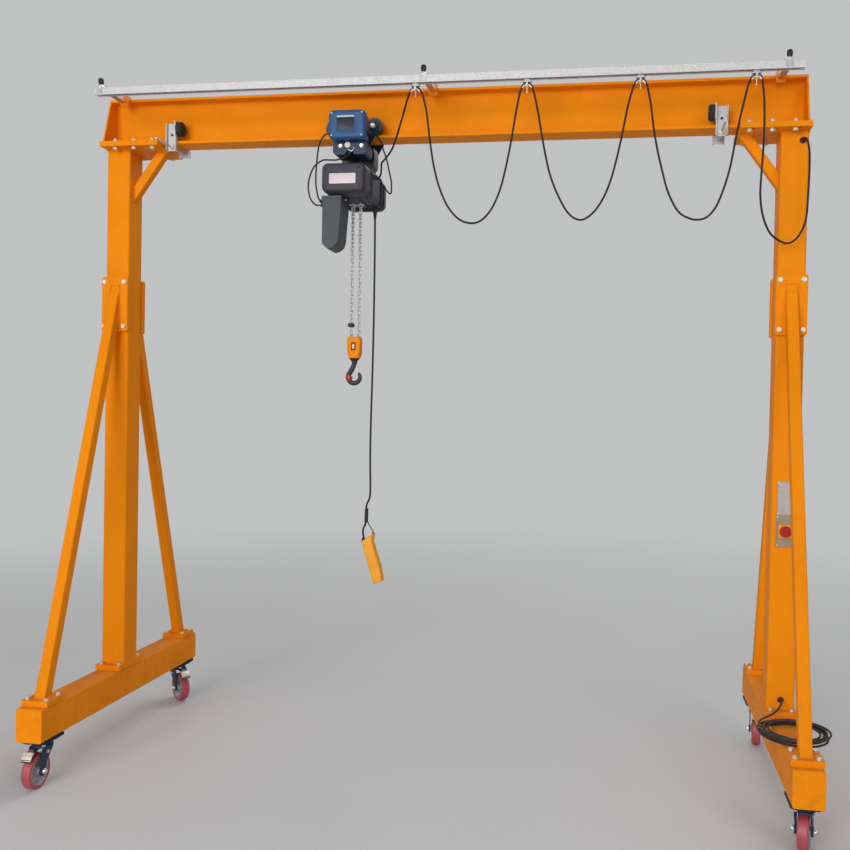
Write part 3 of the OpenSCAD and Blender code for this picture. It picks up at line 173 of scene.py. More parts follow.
class CraneColours(bpy.types.PropertyGroup):
    """Base colours of the finishes."""

    orange: colour("Orange paint", (0.88, 0.262, 0.004), "Paint of the frame")
    blue: colour("Blue paint", (0.018, 0.086, 0.225), "Paint of the control box")
    navy: colour("Navy paint", (0.011, 0.027, 0.07), "Paint of the trolley and the forks")
    charcoal: colour("Charcoal paint", (0.038, 0.035, 0.048), "Paint of the hoist's covers")
    casting: colour("Grey casting", (0.03, 0.036, 0.05), "Paint of the hoist's casting")
    tyre: colour("Tyre", (0.43, 0.066, 0.082), "Wheels' tread")
    pendant: colour("Pendant", (0.98, 0.39, 0.008), "Push-button handset")
    jacket: colour("Cable jacket", (0.008, 0.007, 0.007), "Cables and cords")
    red: colour("Red knob", (0.5, 0.022, 0.018), "Isolator's knob")


# Shapes
def mm(*points):
    """Points in millimetres as an array in metres, or thousandths as shares."""
    return np.array(points, float) / 1000


def skin(rings, wrap=False):
    """Closed rings of points joined by four-sided faces.

    The end rings are filled, or joined to each other where wrap is set.
    """
    rows, cols = rings.shape[:2]
    i, k = np.meshgrid(np.arange(rows if wrap else rows - 1), np.arange(cols), indexing="ij")
    near, far, on = i * cols, (i + 1) % rows * cols, (k + 1) % cols
    faces = np.stack([near + k, near + on, far + on, far + k], -1).reshape(-1, 4).tolist()
    if not wrap:
        faces += [list(range(cols))[::-1], list(range((rows - 1) * cols, rows * cols))]
    return rings.reshape(-1, 3), faces


def unit(v):
    """Vectors at length one."""
    return v / np.maximum(np.linalg.norm(v, axis=-1, keepdims=True), 1e-12)


def round_outline(r, sides):
    """Circle of that many points, counter-clockwise."""
    a = np.linspace(0, TURN, sides, endpoint=False)
    return r * np.stack([np.cos(a), np.sin(a)], -1)


def box_outline(half_w, half_h, r, at=(0.0, 0.0), arc=6):
    """Rectangle with corners of radius r, counter-clockwise from its right side."""
    a = np.linspace(0, TURN / 4, arc)
    turns = a[None] + TURN / 4 * np.arange(4)[:, None]
    sign = np.array([[1, 1], [-1, 1], [-1, -1], [1, -1]])
    corner = sign * [half_w - r, half_h - r]
    return (corner[:, None] + r * np.stack([np.cos(turns), np.sin(turns)], -1)).reshape(-1, 2) + at


def sweep(path, outline, across, ends=(None, None), size=1.0, wrap=False):
    """An outline carried along a path: ring i is path[i] + size[i] * (x * u + y * v).

    u is square to the path's direction and to across, and v is square to both. ends holds the
    directions wanted at the two ends, so that the end faces lie flat on what they meet.
    """
    path = np.asarray(path, float)
    if wrap:
        t = np.roll(path, -1, 0) - np.roll(path, 1, 0)
    else:
        t = np.gradient(path, axis=0)
        for i, way in zip((0, -1), ends):
            if way is not None:
                t[i] = way
    t = unit(t)
    u = unit(np.cross(t, across))
    v = np.cross(t, u)
    size = np.broadcast_to(np.asarray(size, float), len(path)) if np.ndim(size) < 2 else size
    reach = np.asarray(outline)[None] * (size[:, None, None] if np.ndim(size) == 1 else size[:, None])
    return skin(path[:, None] + reach[..., :1] * u[:, None] + reach[..., 1:] * v[:, None], wrap)


def tube(path, d, across, ends=(None, None), sides=12):
    """Round bar or cable along a path."""
    return sweep(path, round_outline(d / 2, sides), across, ends)


def smooth(points, steps=4):
    """Catmull-Rom curve through the points.

    Between b and c it is 0.5 (2b + (c - a) t + (2a - 5b + 4c - d) t^2 + (3b - a - 3c + d) t^3).
    """
    p = np.asarray(points, float)
    q = np.vstack([p[:1], p, p[-1:]])
    a, b, c, d = q[:-3, None], q[1:-2, None], q[2:-1, None], q[3:, None]
    t = (np.arange(steps) / steps)[None, :, None]
    square, cube = 2 * a - 5 * b + 4 * c - d, 3 * b - a - 3 * c + d
    curve = 0.5 * (2 * b + (c - a) * t + square * t**2 + cube * t**3)
    return np.vstack([curve.reshape(-1, 3), p[-1:]])


def lathe(profile, steps=40, wrap=False):
    """Profile (r, z) turned about Z. It runs up the outside; with wrap it is a closed loop."""
    p = np.asarray(profile, float)
    a = np.linspace(0, TURN, steps, endpoint=False)
    r, z = p[:, :1], p[:, 1:]
    return skin(np.stack([r * np.cos(a), r * np.sin(a), z + 0 * a], -1), wrap)


def lofted(outlines, heights):
    """Outlines of equal count laid one over the other along Z."""
    rings = [np.column_stack([o, np.full(len(o), z)]) for o, z in zip(outlines, heights)]
    return skin(np.array(rings))


def inset(outline, by):
    """Outline moved inward by a distance: every corner goes along the sum of its two sides' normals."""
    o = np.asarray(outline, float)
    way = unit(np.roll(o, -1, 0) - o)
    normal = np.stack([-way[:, 1], way[:, 0]], -1)
    before = np.roll(normal, 1, 0)
    share = 1 + np.sum(normal * before, -1, keepdims=True)
    return o + by * (normal + before) / np.maximum(share, 0.3)


def slab(outline, depth, edge, rounds=4):
    """Plate of that outline with both rims rounded to a radius, from z = 0 to z = depth."""
    a = np.linspace(0, TURN / 4, rounds)
    back, lift = edge * (1 - np.sin(a)), edge * (1 - np.cos(a))
    levels = np.append(lift, depth - lift[::-1])
    return lofted([inset(outline, b) for b in np.append(back, back[::-1])], levels)


def moved(shape, at=(0, 0, 0), along=Z, side=None):
    """The shape with its Z turned along a direction, its X towards side, and its origin put at a point."""
    z = unit(np.asarray(along, float))
    if side is None:
        side = X if abs(z[0]) < 0.9 else Y
    x = unit(np.asarray(side, float) - z * np.dot(side, z))
    return shape[0] @ np.array([x, np.cross(z, x), z]) + at, shape[1]


def facing(shape, at):
    """The shape with its own X along X, its Y up and its Z towards the viewer."""
    return moved(shape, at, -Y, X)


def joined(*shapes):
    """Several shapes as one."""
    points, faces, n = [], [], 0
    for p, f in shapes:
        points.append(p)
        faces += [[i + n for i in face] for face in f]
        n += len(p)
    return np.vstack(points), faces


def everywhere(shape, places, along=Z, side=None):
    """The shape at each of the places."""
    return joined(*[moved(shape, at, along, side) for at in places])


def stacked(levels, a):
    """Rings over the angles a, each with its radius, one number or one for each angle, and its height."""
    return skin(np.array([np.column_stack([r * np.cos(a), r * np.sin(a), 0 * a + z]) for r, z in levels]))


def hex_head(d, height=0.65, turn=0.0):
    """Hexagon of a bolt or nut of thread d, 1.5 d across its flats, with its corners drawn in at the top."""
    a = np.linspace(0, TURN, 36, endpoint=False)
    flat = 0.76 * d / np.cos((a + turn + TURN / 12) % (TURN / 6) - TURN / 12)
    h = height * d
    levels = [(flat, 0.0), (flat, 0.86 * h), (np.minimum(flat, 0.77 * d), h), (0.62 * d, h)]
    return stacked(levels, a)


def washer(d):
    """Flat washer of a thread d, with its rim broken."""
    r, t = 0.98 * d, 0.17 * d
    return lathe([(r * 0.97, 0), (r, t * 0.25), (r, t * 0.75), (r * 0.97, t)], 32)


def bolt(d, height=0.65):
    """Washer and bolt head that stand on z = 0."""
    w = 0.17 * d
    return joined(washer(d), moved(hex_head(d, height), (0, 0, w)))


def nut(d, tail=0.5):
    """Washer, nut and the end of the thread, ringed like its turns."""
    w, h = 0.17 * d, 0.8 * d
    turns = np.arange(0, tail * d, 0.06 * d)
    r = np.where(np.arange(len(turns)) % 2, 0.5, 0.455) * d
    end = lathe(list(zip(r, h + turns)) + [(0.4 * d, h + turns[-1] + 0.05 * d)], 20)
    return joined(washer(d), moved(hex_head(d, 0.8), (0, 0, w)), moved(end, (0, 0, w)))


def socket_screw(d):
    """Cap screw with its hexagon socket: the hexagon's rings go down inside the round head."""
    a = np.linspace(0, TURN, 24, endpoint=False)
    six = 0.42 * d / np.cos((a + TURN / 12) % (TURN / 6) - TURN / 12)
    levels = [(0.75 * d, 0), (0.75 * d, 0.8 * d), (0.68 * d, 0.9 * d), (six, 0.9 * d), (six * 0.98, 0.45 * d)]
    return stacked(levels, a)


def weld(path, leg, out, wrap=False):
    """Fillet weld along a path: a round bead whose size swells and shrinks with each of its ripples."""
    p = np.asarray(path, float)
    if wrap:
        p = np.vstack([p, p[:1]])
    run = np.r_[0, np.cumsum(np.linalg.norm(np.diff(p, axis=0), axis=1))]
    at = np.arange(0, run[-1], 0.004)
    p = np.stack([np.interp(at, run, p[:, k]) for k in range(3)], -1)
    size = leg * (0.52 + 0.06 * np.sin(at * TURN / 0.012) + 0.05 * np.sin(at * 37.0) * np.sin(at * 11.0))
    return sweep(p, round_outline(1.0, 8), out, size=size)


SIDES = [(i, j) for i in (-1, 1) for j in (-1, 1)]
AROUND = ((1, 1), (-1, 1), (-1, -1), (1, -1))


def rectangle(cx, cy, half_x, half_y, z):
    """Closed rectangle at a height."""
    return [(cx + i * half_x, cy + j * half_y, z) for i, j in AROUND]


def seam(x, y, z, leg):
    """Straight weld across a base beam."""
    return weld([(x - 0.055, y, z), (x + 0.055, y, z)], leg, Z)


# Finishes
class Socket:
    """A number in a material. Sums and products of sockets add Math nodes."""

    def __init__(self, tree, source):
        self.tree, self.source = tree, source

    def math(self, operation, *values):
        node = self.tree.nodes.new("ShaderNodeMath")
        node.operation = operation
        for slot, value in zip(node.inputs, values):
            if isinstance(value, Socket):
                self.tree.links.new(value.source, slot)
            else:
                slot.default_value = value
        return Socket(self.tree, node.outputs[0])

    def __add__(self, other):
        return self.math("ADD", self, other)

    __radd__ = __add__

    def __mul__(self, other):
        return self.math("MULTIPLY", self, other)

    __rmul__ = __mul__

    def __sub__(self, other):
        return self.math("SUBTRACT", self, other)

    def __rsub__(self, other):
        return self.math("SUBTRACT", other, self)

    def __pow__(self, other):
        return self.math("POWER", self, other)


BACKGROUND = (0.53, 0.535, 0.54)


class Finish:
    """A material under construction, with its nodes."""

    def __init__(self, name):
        self.material = bpy.data.materials.new(f"finish_{name}")
        self.material.use_nodes = True
        self.tree = self.material.node_tree
        self.shader = self.tree.nodes["Principled BSDF"]
        self.place = self.node("ShaderNodeTexCoord", output="Object")

    @classmethod
    def over(cls, tree):
        """The same helpers over another node tree, such as the world's."""
        made = cls.__new__(cls)
        made.tree = tree
        return made

    def node(self, kind, settings=None, output=0, **sockets):
        """Adds a node: its settings first, then the values or links of its sockets, by name."""
        node = self.tree.nodes.new(kind)
        for key, value in (settings or {}).items():
            setattr(node, key, value)
        for key, value in sockets.items():
            self.feed(node.inputs[key.replace("_", " ")], value)
        return Socket(self.tree, node.outputs[output])

    def feed(self, slot, value):
        """A value or a link into a node's socket."""
        if isinstance(value, Socket):
            self.tree.links.new(value.source, slot)
        else:
            slot.default_value = (*value, 1.0) if slot.type == "RGBA" and len(value) == 3 else value

    def noise(self, scale, detail=4.0, roughness=0.55, stretch=None):
        """Noise between 0 and 1, stretched where a scale for each axis is given."""
        place = self.place
        if stretch is not None:
            place = self.node("ShaderNodeMapping", Vector=place, Scale=stretch)
        return self.node(
            "ShaderNodeTexNoise", Vector=place, Scale=scale, Detail=detail, Roughness=roughness
        )

    def step(self, value, start, end):
        """Smooth rise from 0 at start to 1 at end."""
        return self.node(
            "ShaderNodeMapRange",
            {"interpolation_type": "SMOOTHSTEP"},
            Value=value,
            From_Min=start,
            From_Max=end,
        )

    def mix(self, share, a, b, way="MIX"):
        """Colour a turned into b by a share."""
        node = self.tree.nodes.new("ShaderNodeMix")
        node.data_type, node.blend_type = "RGBA", way
        for key, value in ((0, share), (6, a), (7, b)):
            self.feed(node.inputs[key], value)
        return Socket(self.tree, node.outputs[2])

    def axis(self, name):
        """One of the object's coordinates."""
        return self.node("ShaderNodeSeparateXYZ", output=name, Vector=self.place)

    def up(self):
        """How much a face looks up."""
        normal = self.node("ShaderNodeNewGeometry", output="Normal")
        return self.node("ShaderNodeSeparateXYZ", output="Z", Vector=normal)

    def bump(self, height, strength, distance):
        """Relief from a height."""
        relief = self.node("ShaderNodeBump", Height=height, Strength=strength, Distance=distance)
        self.feed(self.shader.inputs["Normal"], relief)

    def done(self, **sockets):
        """Sets the shader's own sockets and gives the material."""
        for key, value in sockets.items():
            self.feed(self.shader.inputs[key.replace("_", " ")], value)
        return self.material


def tone(base, by):
    """A colour made lighter or darker by a factor."""
    return tuple(min(1.0, c * by) for c in base)


def paint_layers(f, base):
    """Sprayed paint and its masks: shifts of tone, runs, dirt near the floor, dust on top, chips."""
    drift = f.step(f.noise(2.6, 3.0), 0.35, 0.65)
    cloth = f.noise(9.0, 6.0, 0.62)
    runs = f.noise(3.0, 4.0, 0.6, stretch=(9.0, 9.0, 0.7))
    paint = f.mix(drift, tone(base, 0.93), base)
    paint = f.mix(f.step(cloth, 0.45, 0.75) * 0.3, paint, (0.8, 0.232, 0.006))
    paint = f.mix(f.step(runs, 0.58, 0.72) * 0.14, paint, (0.42, 0.12, 0.008))
    floor = 1.0 - f.step(f.axis("Z"), 0.1, 0.62)
    dirt = floor * f.step(f.noise(26.0, 7.0, 0.68), 0.5, 0.66)
    paint = f.mix(dirt * 0.16, paint, (0.16, 0.08, 0.03))
    dust = f.step(f.up(), 0.72, 0.98) * f.step(f.noise(14.0, 5.0), 0.3, 0.75)
    paint = f.mix(dust * 0.22, paint, (0.46, 0.34, 0.22))
    scratch = f.step(f.noise(5.0, 9.0, 0.8, stretch=(1.0, 6.0, 14.0)), 0.715, 0.735)
    paint = f.mix(scratch * 0.35, paint, (0.9, 0.48, 0.16))
    chip = f.step(f.noise(38.0, 8.0, 0.78), 0.735, 0.745)
    return f.mix(chip, paint, (0.055, 0.042, 0.035)), cloth, dirt + dust, chip


def frame_paint(name, below=None):
    """The frame's orange paint, and navy paint below a height where one is given."""
    f = Finish(name)
    paint, cloth, soil, chip = paint_layers(f, chosen("orange"))
    if below is not None:
        paint = f.mix(f.step(f.axis("Z"), below, below + 0.001), chosen("navy"), paint)
    f.bump(f.noise(240.0, 2.0) * 0.35 + cloth * 0.5 - chip * 0.8, 0.16, 0.0012)
    return f.done(
        Base_Color=paint,
        Roughness=0.4 + 0.14 * cloth + 0.2 * soil,
        Specular_IOR_Level=0.05,
    )


def bracket_zinc(name):
    """Zinc of the rail's brackets, whose lower jaw is painted with the girder."""
    f = Finish(name)
    paint, cloth, soil, chip = paint_layers(f, chosen("orange"))
    zinc = 1.0 - f.step(f.axis("Y"), -0.11, -0.109)
    grey = f.mix(f.step(f.noise(60.0, 6.0, 0.65), 0.35, 0.7), (0.36, 0.355, 0.36), (0.54, 0.53, 0.535))
    f.bump(cloth * 0.5 - chip * 0.6, 0.14, 0.001)
    return f.done(Base_Color=f.mix(zinc, paint, grey), Metallic=zinc * 0.6, Roughness=0.42 + 0.12 * cloth)


def machine_paint(name, base, worn, rough=0.38, grain=120.0, relief=0.18):
    """Satin machine paint with a fine texture, rubbed patches, grease and small chips."""
    f = Finish(name)
    cloud = f.noise(16.0, 5.0, 0.6)
    fine = f.noise(grain, 3.0)
    paint = f.mix(f.step(cloud, 0.35, 0.7) * 0.7, tone(base, 0.78), tone(base, 1.12))
    dust = f.step(f.up(), 0.55, 0.95) * f.step(f.noise(30.0, 6.0), 0.3, 0.7)
    paint = f.mix(dust * 0.3, paint, (0.3, 0.28, 0.25))
    chip = f.step(f.noise(75.0, 8.0, 0.75), 0.72, 0.735)
    paint = f.mix(chip, paint, worn)
    f.bump(fine * 0.6 + cloud * 0.5 - chip * 0.6, relief, 0.0008)
    return f.done(Base_Color=paint, Roughness=rough + 0.18 * cloud + 0.2 * dust, Specular_IOR_Level=0.36)


def plated(name, base, rough=0.36, spangle=90.0, patch=0.35, metal=0.85):
    """Zinc or plated steel: crystals of slightly different grey, dull white patches, handling marks."""
    f = Finish(name)
    crystal = f.node(
        "ShaderNodeTexVoronoi", {"feature": "F1"}, output="Distance", Vector=f.place, Scale=spangle
    )
    cloud = f.noise(22.0, 6.0, 0.65)
    streak = f.noise(70.0, 5.0, 0.6, stretch=(0.15, 1.0, 1.0))
    grey = f.mix(f.step(crystal, 0.1, 0.6), tone(base, 0.84), tone(base, 1.08))
    grey = f.mix(f.step(cloud, 0.5, 0.72) * patch, grey, tone(base, 0.62))
    f.bump(crystal * 0.4 + streak * 0.4, 0.1, 0.0005)
    return f.done(
        Base_Color=grey, Metallic=metal, Roughness=rough + 0.16 * cloud + 0.1 * streak
    )


def moulded(name, base, rough=0.45, grain=260.0, relief=0.15, dusty=0.25):
    """Moulded plastic or rubber: fine grain, faint flow marks, dust that settled on top."""
    f = Finish(name)
    cloud = f.noise(12.0, 5.0, 0.6)
    fine = f.noise(grain, 2.0)
    skin_colour = f.mix(f.step(cloud, 0.3, 0.75) * 0.6, tone(base, 0.82), tone(base, 1.1))
    dust = f.step(f.up(), 0.45, 0.95) * f.step(f.noise(40.0, 6.0), 0.35, 0.7)
    skin_colour = f.mix(dust * dusty, skin_colour, (0.28, 0.26, 0.23))
    f.bump(fine, relief, 0.0005)
    return f.done(
        Base_Color=skin_colour, Roughness=rough + 0.15 * cloud + 0.15 * dust, Specular_IOR_Level=0.34
    )


def tyre_rubber(name, base):
    """Red polyurethane tread, scuffed grey where it rolls."""
    f = Finish(name)
    cloud = f.noise(24.0, 6.0, 0.66)
    scuff = f.step(f.noise(60.0, 8.0, 0.72), 0.5, 0.66)
    tread = f.mix(f.step(cloud, 0.3, 0.7), tone(base, 0.8), tone(base, 1.15))
    tread = f.mix(scuff * 0.26, tread, (0.17, 0.105, 0.1))
    f.bump(cloud * 0.5 + scuff * 0.4, 0.22, 0.0008)
    return f.done(Base_Color=tread, Roughness=0.42 + 0.25 * scuff)


def wheel_casting(name):
    """Grey painted cast hub with patches of grime."""
    f = Finish(name)
    grime = f.step(f.noise(45.0, 7.0, 0.7), 0.42, 0.66)
    grey = f.mix(grime, (0.4, 0.4, 0.41), (0.2, 0.19, 0.18))
    f.bump(f.noise(180.0, 4.0), 0.35, 0.0008)
    return f.done(Base_Color=grey, Metallic=0.25, Roughness=0.5 + 0.18 * grime)


def oiled_steel(name):
    """Dark machined steel of gears and trolley wheels, with an uneven film of oil."""
    f = Finish(name)
    film = f.noise(30.0, 6.0, 0.65)
    steel = f.mix(f.step(film, 0.35, 0.7), (0.022, 0.021, 0.021), (0.07, 0.066, 0.062))
    f.bump(f.noise(200.0, 3.0), 0.2, 0.0005)
    return f.done(Base_Color=steel, Metallic=0.35, Roughness=0.34 + 0.3 * film)


def bare_plate(name, dull, bright):
    """Bare satin plate with a brushed grain and smears."""
    f = Finish(name)
    grain = f.noise(40.0, 5.0, 0.6, stretch=(1.0, 1.0, 18.0))
    smear = f.noise(30.0, 6.0, 0.66)
    grey = f.mix(f.step(grain, 0.3, 0.7), tone(bright, 0.82), bright)
    grey = f.mix(f.step(smear, 0.5, 0.74) * 0.5, grey, dull)
    f.bump(grain, 0.08, 0.0003)
    return f.done(Base_Color=grey, Metallic=0.2, Roughness=0.4 + 0.2 * smear)


def chosen(name):
    """A colour set in the sidebar."""
    return tuple(getattr(bpy.context.scene.crane_colours, name))


FINISHES = {
    "orange_paint": (frame_paint,),
    "pad_paint": (frame_paint, (BEAM_LOW + BEAM_TOP) / 2),
    "bracket_zinc": (bracket_zinc,),
    "blue_paint": (machine_paint, "blue", (0.2, 0.22, 0.24)),
    "navy_paint": (machine_paint, "navy", (0.15, 0.16, 0.18)),
    "charcoal_paint": (machine_paint, "charcoal", (0.16, 0.16, 0.16), 0.44),
    "black_steel": (machine_paint, (0.03, 0.029, 0.031), (0.14, 0.13, 0.12), 0.34),
    "grey_casting": (machine_paint, "casting", (0.34, 0.34, 0.34), 0.46, 160.0, 0.4),
    "galvanised": (plated, (0.56, 0.55, 0.555), 0.44, 160.0, 0.16, 0.3),
    "plate_zinc": (plated, (0.5, 0.485, 0.49), 0.42, 90.0, 0.35, 0.4),
    "bolt_zinc": (plated, (0.66, 0.61, 0.5), 0.3, 300.0, 0.4),
    "chain_steel": (plated, (0.6, 0.6, 0.58), 0.3, 400.0, 0.4, 0.7),
    "bright_steel": (plated, (0.7, 0.7, 0.71), 0.18, 500.0, 0.15, 1.0),
    "brass_zinc": (plated, (0.62, 0.5, 0.28), 0.32, 300.0, 0.3, 0.8),
    "saddle_zinc": (plated, (0.62, 0.58, 0.52), 0.4, 200.0, 0.3, 0.4),
    "dark_steel": (oiled_steel,),
    "plate_aluminium": (bare_plate, (0.33, 0.29, 0.27), (0.5, 0.47, 0.45)),
    "plate_bronze": (bare_plate, (0.24, 0.165, 0.115), (0.37, 0.27, 0.195)),
    "label_bare": (bare_plate, (0.52, 0.4, 0.42), (0.66, 0.56, 0.57)),
    "hub_casting": (wheel_casting,),
    "red_tyre": (tyre_rubber, "tyre"),
    "black_plastic": (moulded, (0.016, 0.016, 0.018), 0.42),
    "bucket_plastic": (moulded, (0.06, 0.068, 0.08), 0.46, 200.0, 0.25),
    "black_rubber": (moulded, (0.024, 0.022, 0.022), 0.6, 160.0, 0.3),
    "cable_jacket": (moulded, "jacket", 0.46, 320.0, 0.1, 0.12),
    "cord_jacket": (moulded, (0.034, 0.022, 0.02), 0.52, 320.0, 0.1, 0.3),
    "gland_plastic": (moulded, (0.06, 0.012, 0.01), 0.4),
    "white_plastic": (moulded, (0.7, 0.7, 0.67), 0.4),
    "badge_brown": (moulded, (0.075, 0.03, 0.008), 0.42),
    "badge_pale": (moulded, (0.86, 0.56, 0.34), 0.42),
    "panel_dark": (moulded, (0.012, 0.016, 0.03), 0.3, 300.0, 0.04, 0.1),
    "yellow_plastic": (moulded, "pendant", 0.38, 220.0, 0.12, 0.12),
    "red_plastic": (moulded, "red", 0.28, 260.0, 0.05),
}

NODE_FINISH = {
    "orange_paint": [
        "girder", "girder_ends", "column_left", "column_right", "head_plates", "column_feet",
        "knee_braces", "braces_left", "braces_right", "brace_plates", "base_beam_left",
        "base_beam_right", "hook_block",
    ],
    "pad_paint": ["beam_pads"],
    "bracket_zinc": ["rail_brackets"],
    "blue_paint": ["drive_box"],
    "navy_paint": ["trolley_frame", "drive_motor", "caster_plates", *[f"caster_fork_{c}" for c in CORNERS]],
    "charcoal_paint": ["hoist_cover", "hoist_motor"],
    "black_steel": ["suspension", "hook"],
    "grey_casting": ["hoist_body"],
    "galvanised": ["festoon_rail", "hook_latch", "carrier_1", "carrier_2", "carrier_3", "carrier_4"],
    "plate_zinc": ["trolley_stops"],
    "dark_steel": ["trolley_wheels"],
    "plate_aluminium": ["nameplate"],
    "plate_bronze": ["switch_plate"],
    "black_plastic": ["chain_stopper", "rail_knobs"],
    "gland_plastic": ["cable_glands"],
    "bucket_plastic": ["chain_container"],
    "black_rubber": ["stop_buffers"],
    "red_tyre": [f"caster_wheel_{c}" for c in CORNERS],
    "yellow_plastic": ["pendant"],
    "red_plastic": ["isolator_knob"],
    "chain_steel": ["load_chain"],
    "cord_jacket": ["supply_cord", "supply_coil"],
    "cable_jacket": [
        "jumper_cables", "pendant_cord",
        *[f"festoon_cable_{k}" for k in (1, 2, 3, 4, 5)],
    ],
}


def finish(name):
    """The material of that name, made the first time it is asked for."""
    made = bpy.data.materials.get(f"finish_{name}")
    if made is None:
        maker, *values = FINISHES[name]
        made = maker(name, *[chosen(v) if isinstance(v, str) else v for v in values])
    return made


# Pieces
def piece(name, shape, look, body=None, nodes=(), crease=38.0):
    """A shape as an object that rides on a body and replaces the CAD nodes named.

    It is shaded smooth where its faces meet at less than the crease.
    """
    points, faces = shape
    mesh = bpy.data.meshes.new(name)
    mesh.from_pydata(points.tolist(), [], faces)
    mesh.validate()
    mesh.polygons.foreach_set("use_smooth", np.ones(len(mesh.polygons), bool))
    mesh.set_sharp_from_angle(angle=np.radians(crease))
    mesh.materials.append(finish(look))
    made = bpy.data.objects.new(name, mesh)
    bpy.context.scene.collection.objects.link(made)
    if body:
        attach(made, body)
    if nodes:
        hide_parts(*nodes)
    return made


def smooth_curves_group():
    """Node group for a CAD node: merges its triangles and shades faces that meet at a small angle smooth."""
    group = bpy.data.node_groups.new("smooth_curves", "GeometryNodeTree")
    for way in ("INPUT", "OUTPUT"):
        group.interface.new_socket("Geometry", in_out=way, socket_type="NodeSocketGeometry")
    new = group.nodes.new
    start, end, merge = new("NodeGroupInput"), new("NodeGroupOutput"), new("GeometryNodeMergeByDistance")
    merge.inputs["Distance"].default_value = 1e-5
    bare = new("GeometryNodeRemoveAttribute")
    bare.inputs["Name"].default_value = "custom_normal"
    soft, hard = new("GeometryNodeSetShadeSmooth"), new("GeometryNodeSetShadeSmooth")
    soft.inputs["Shade Smooth"].default_value = True
    hard.domain = "EDGE"
    hard.inputs["Shade Smooth"].default_value = False
    angle, over = new("GeometryNodeInputMeshEdgeAngle"), new("ShaderNodeMath")
    over.operation = "GREATER_THAN"
    over.inputs[1].default_value = np.radians(28.0)
    link = group.links.new
    link(angle.outputs["Unsigned Angle"], over.inputs[0])
    link(over.outputs[0], hard.inputs["Selection"])
    chain = [start, merge, bare, soft, hard, end]
    for a, b in zip(chain, chain[1:]):
        link(a.outputs[0], b.inputs[0])
    return group


class Piece:
    """What the operators share."""

    bl_options = {"REGISTER", "UNDO"}

    def execute(self, context):
        self.build(context.scene.crane_sizes)
        return {"FINISHED"}


class CRANE_OT_camera(Piece, bpy.types.Operator):
    """Camera at the photograph's viewing point"""

    bl_idname = "crane.camera"
    bl_label = "Camera"

    def build(self, sizes):
        yaw, pitch, roll = np.radians([-8.81, -1.05, 1.15])
        forward = np.array([np.sin(yaw) * np.cos(pitch), np.cos(yaw) * np.cos(pitch), np.sin(pitch)])
        level = np.array([np.cos(yaw), -np.sin(yaw), 0.0])
        rise = np.cross(level, forward)
        right = level * np.cos(roll) + rise * np.sin(roll)
        above = rise * np.cos(roll) - level * np.sin(roll)
        data = bpy.data.cameras.new("camera")
        data.sensor_width, data.lens = 36.0, 37.09
        data.shift_x, data.shift_y = -0.0714, 0.0041
        data.clip_end = 200.0
        camera = bpy.data.objects.new("camera", data)
        bpy.context.scene.collection.objects.link(camera)
        turn = np.eye(4)
        turn[:3] = np.stack([right, above, -forward, (0.8729, -4.0429, 1.6566)], -1)
        camera.matrix_world = Matrix(turn.tolist())
        bpy.context.scene.camera = camera


# Supply cord from the gland's tip over to the pile of turns on the right base beam
COIL_MIDDLE = np.array([COLUMN_X + 0.01, -0.312, BEAM_TOP + 0.0003])
COIL_R = 0.122
SUPPLY_ROUTE = mm(
    (1590, -74, 421), (1590, -88, 421), (1583, -112, 414), (1566, -136, 400), (1542, -158, 388),
    (1514, -180, 381), (1490, -206, 378.5), (1474, -238, 378.1), (1467.5, -274, 378.1),
)


def coil_path(turns):
    """The cord's middle line over its turns, which lie in three loose layers.

    Each layer winds inward or outward with about 15 mm between its turns, and its own middle is a few
    millimetres off, so that the turns show apart. The cord sinks to the next layer over a seventh
    of a turn.
    """
    knots = [0, 2.15, 2.35, 4.5, 4.7, 6.9]
    off = np.interp(turns, knots, np.array([18.0, -16.0, -14.0, 17.0, 19.0, -15.0]) / 1000)
    up = np.interp(turns, knots, np.array([23.4, 23.4, 14.1, 14.1, 4.7, 4.7]) / 1000)
    aside = np.interp(turns, knots, np.array([8.0, 8.0, -9.0, -9.0, 4.0, 4.0]) / 1000)
    ahead = np.interp(turns, knots, np.array([-7.0, -7.0, 6.0, 6.0, -3.0, -3.0]) / 1000)
    a = TURN * (0.5 + turns)
    r = COIL_R + off + 0.0022 * np.sin(2 * a + 1.0 + 0.4 * turns) + 0.0012 * np.sin(3 * a + turns)
    return COIL_MIDDLE + np.stack([aside + r * np.cos(a), ahead + r * np.sin(a), up], -1)


class CRANE_OT_supply_cord(Piece, bpy.types.Operator):
    """Supply cord with its turns"""

    bl_idname = "crane.supply_cord"
    bl_label = "Supply Cord"

    def build(self, sizes):
        path = np.vstack([smooth(SUPPLY_ROUTE, 4)[:-1], coil_path(np.arange(0, 7.2, 1 / 60))])
        run = np.r_[0, np.cumsum(np.linalg.norm(np.diff(path, axis=0), axis=1))]
        at = np.linspace(0, sizes.cord_length, 900)
        path = np.stack([np.interp(at, run, path[:, k]) for k in range(3)], -1)
        cord = piece(
            "supply_lead", tube(path, sizes.cord_d, Z, (-Y, None)), "cord_jacket", "frame"
        )
        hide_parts("supply_cord", "supply_coil")


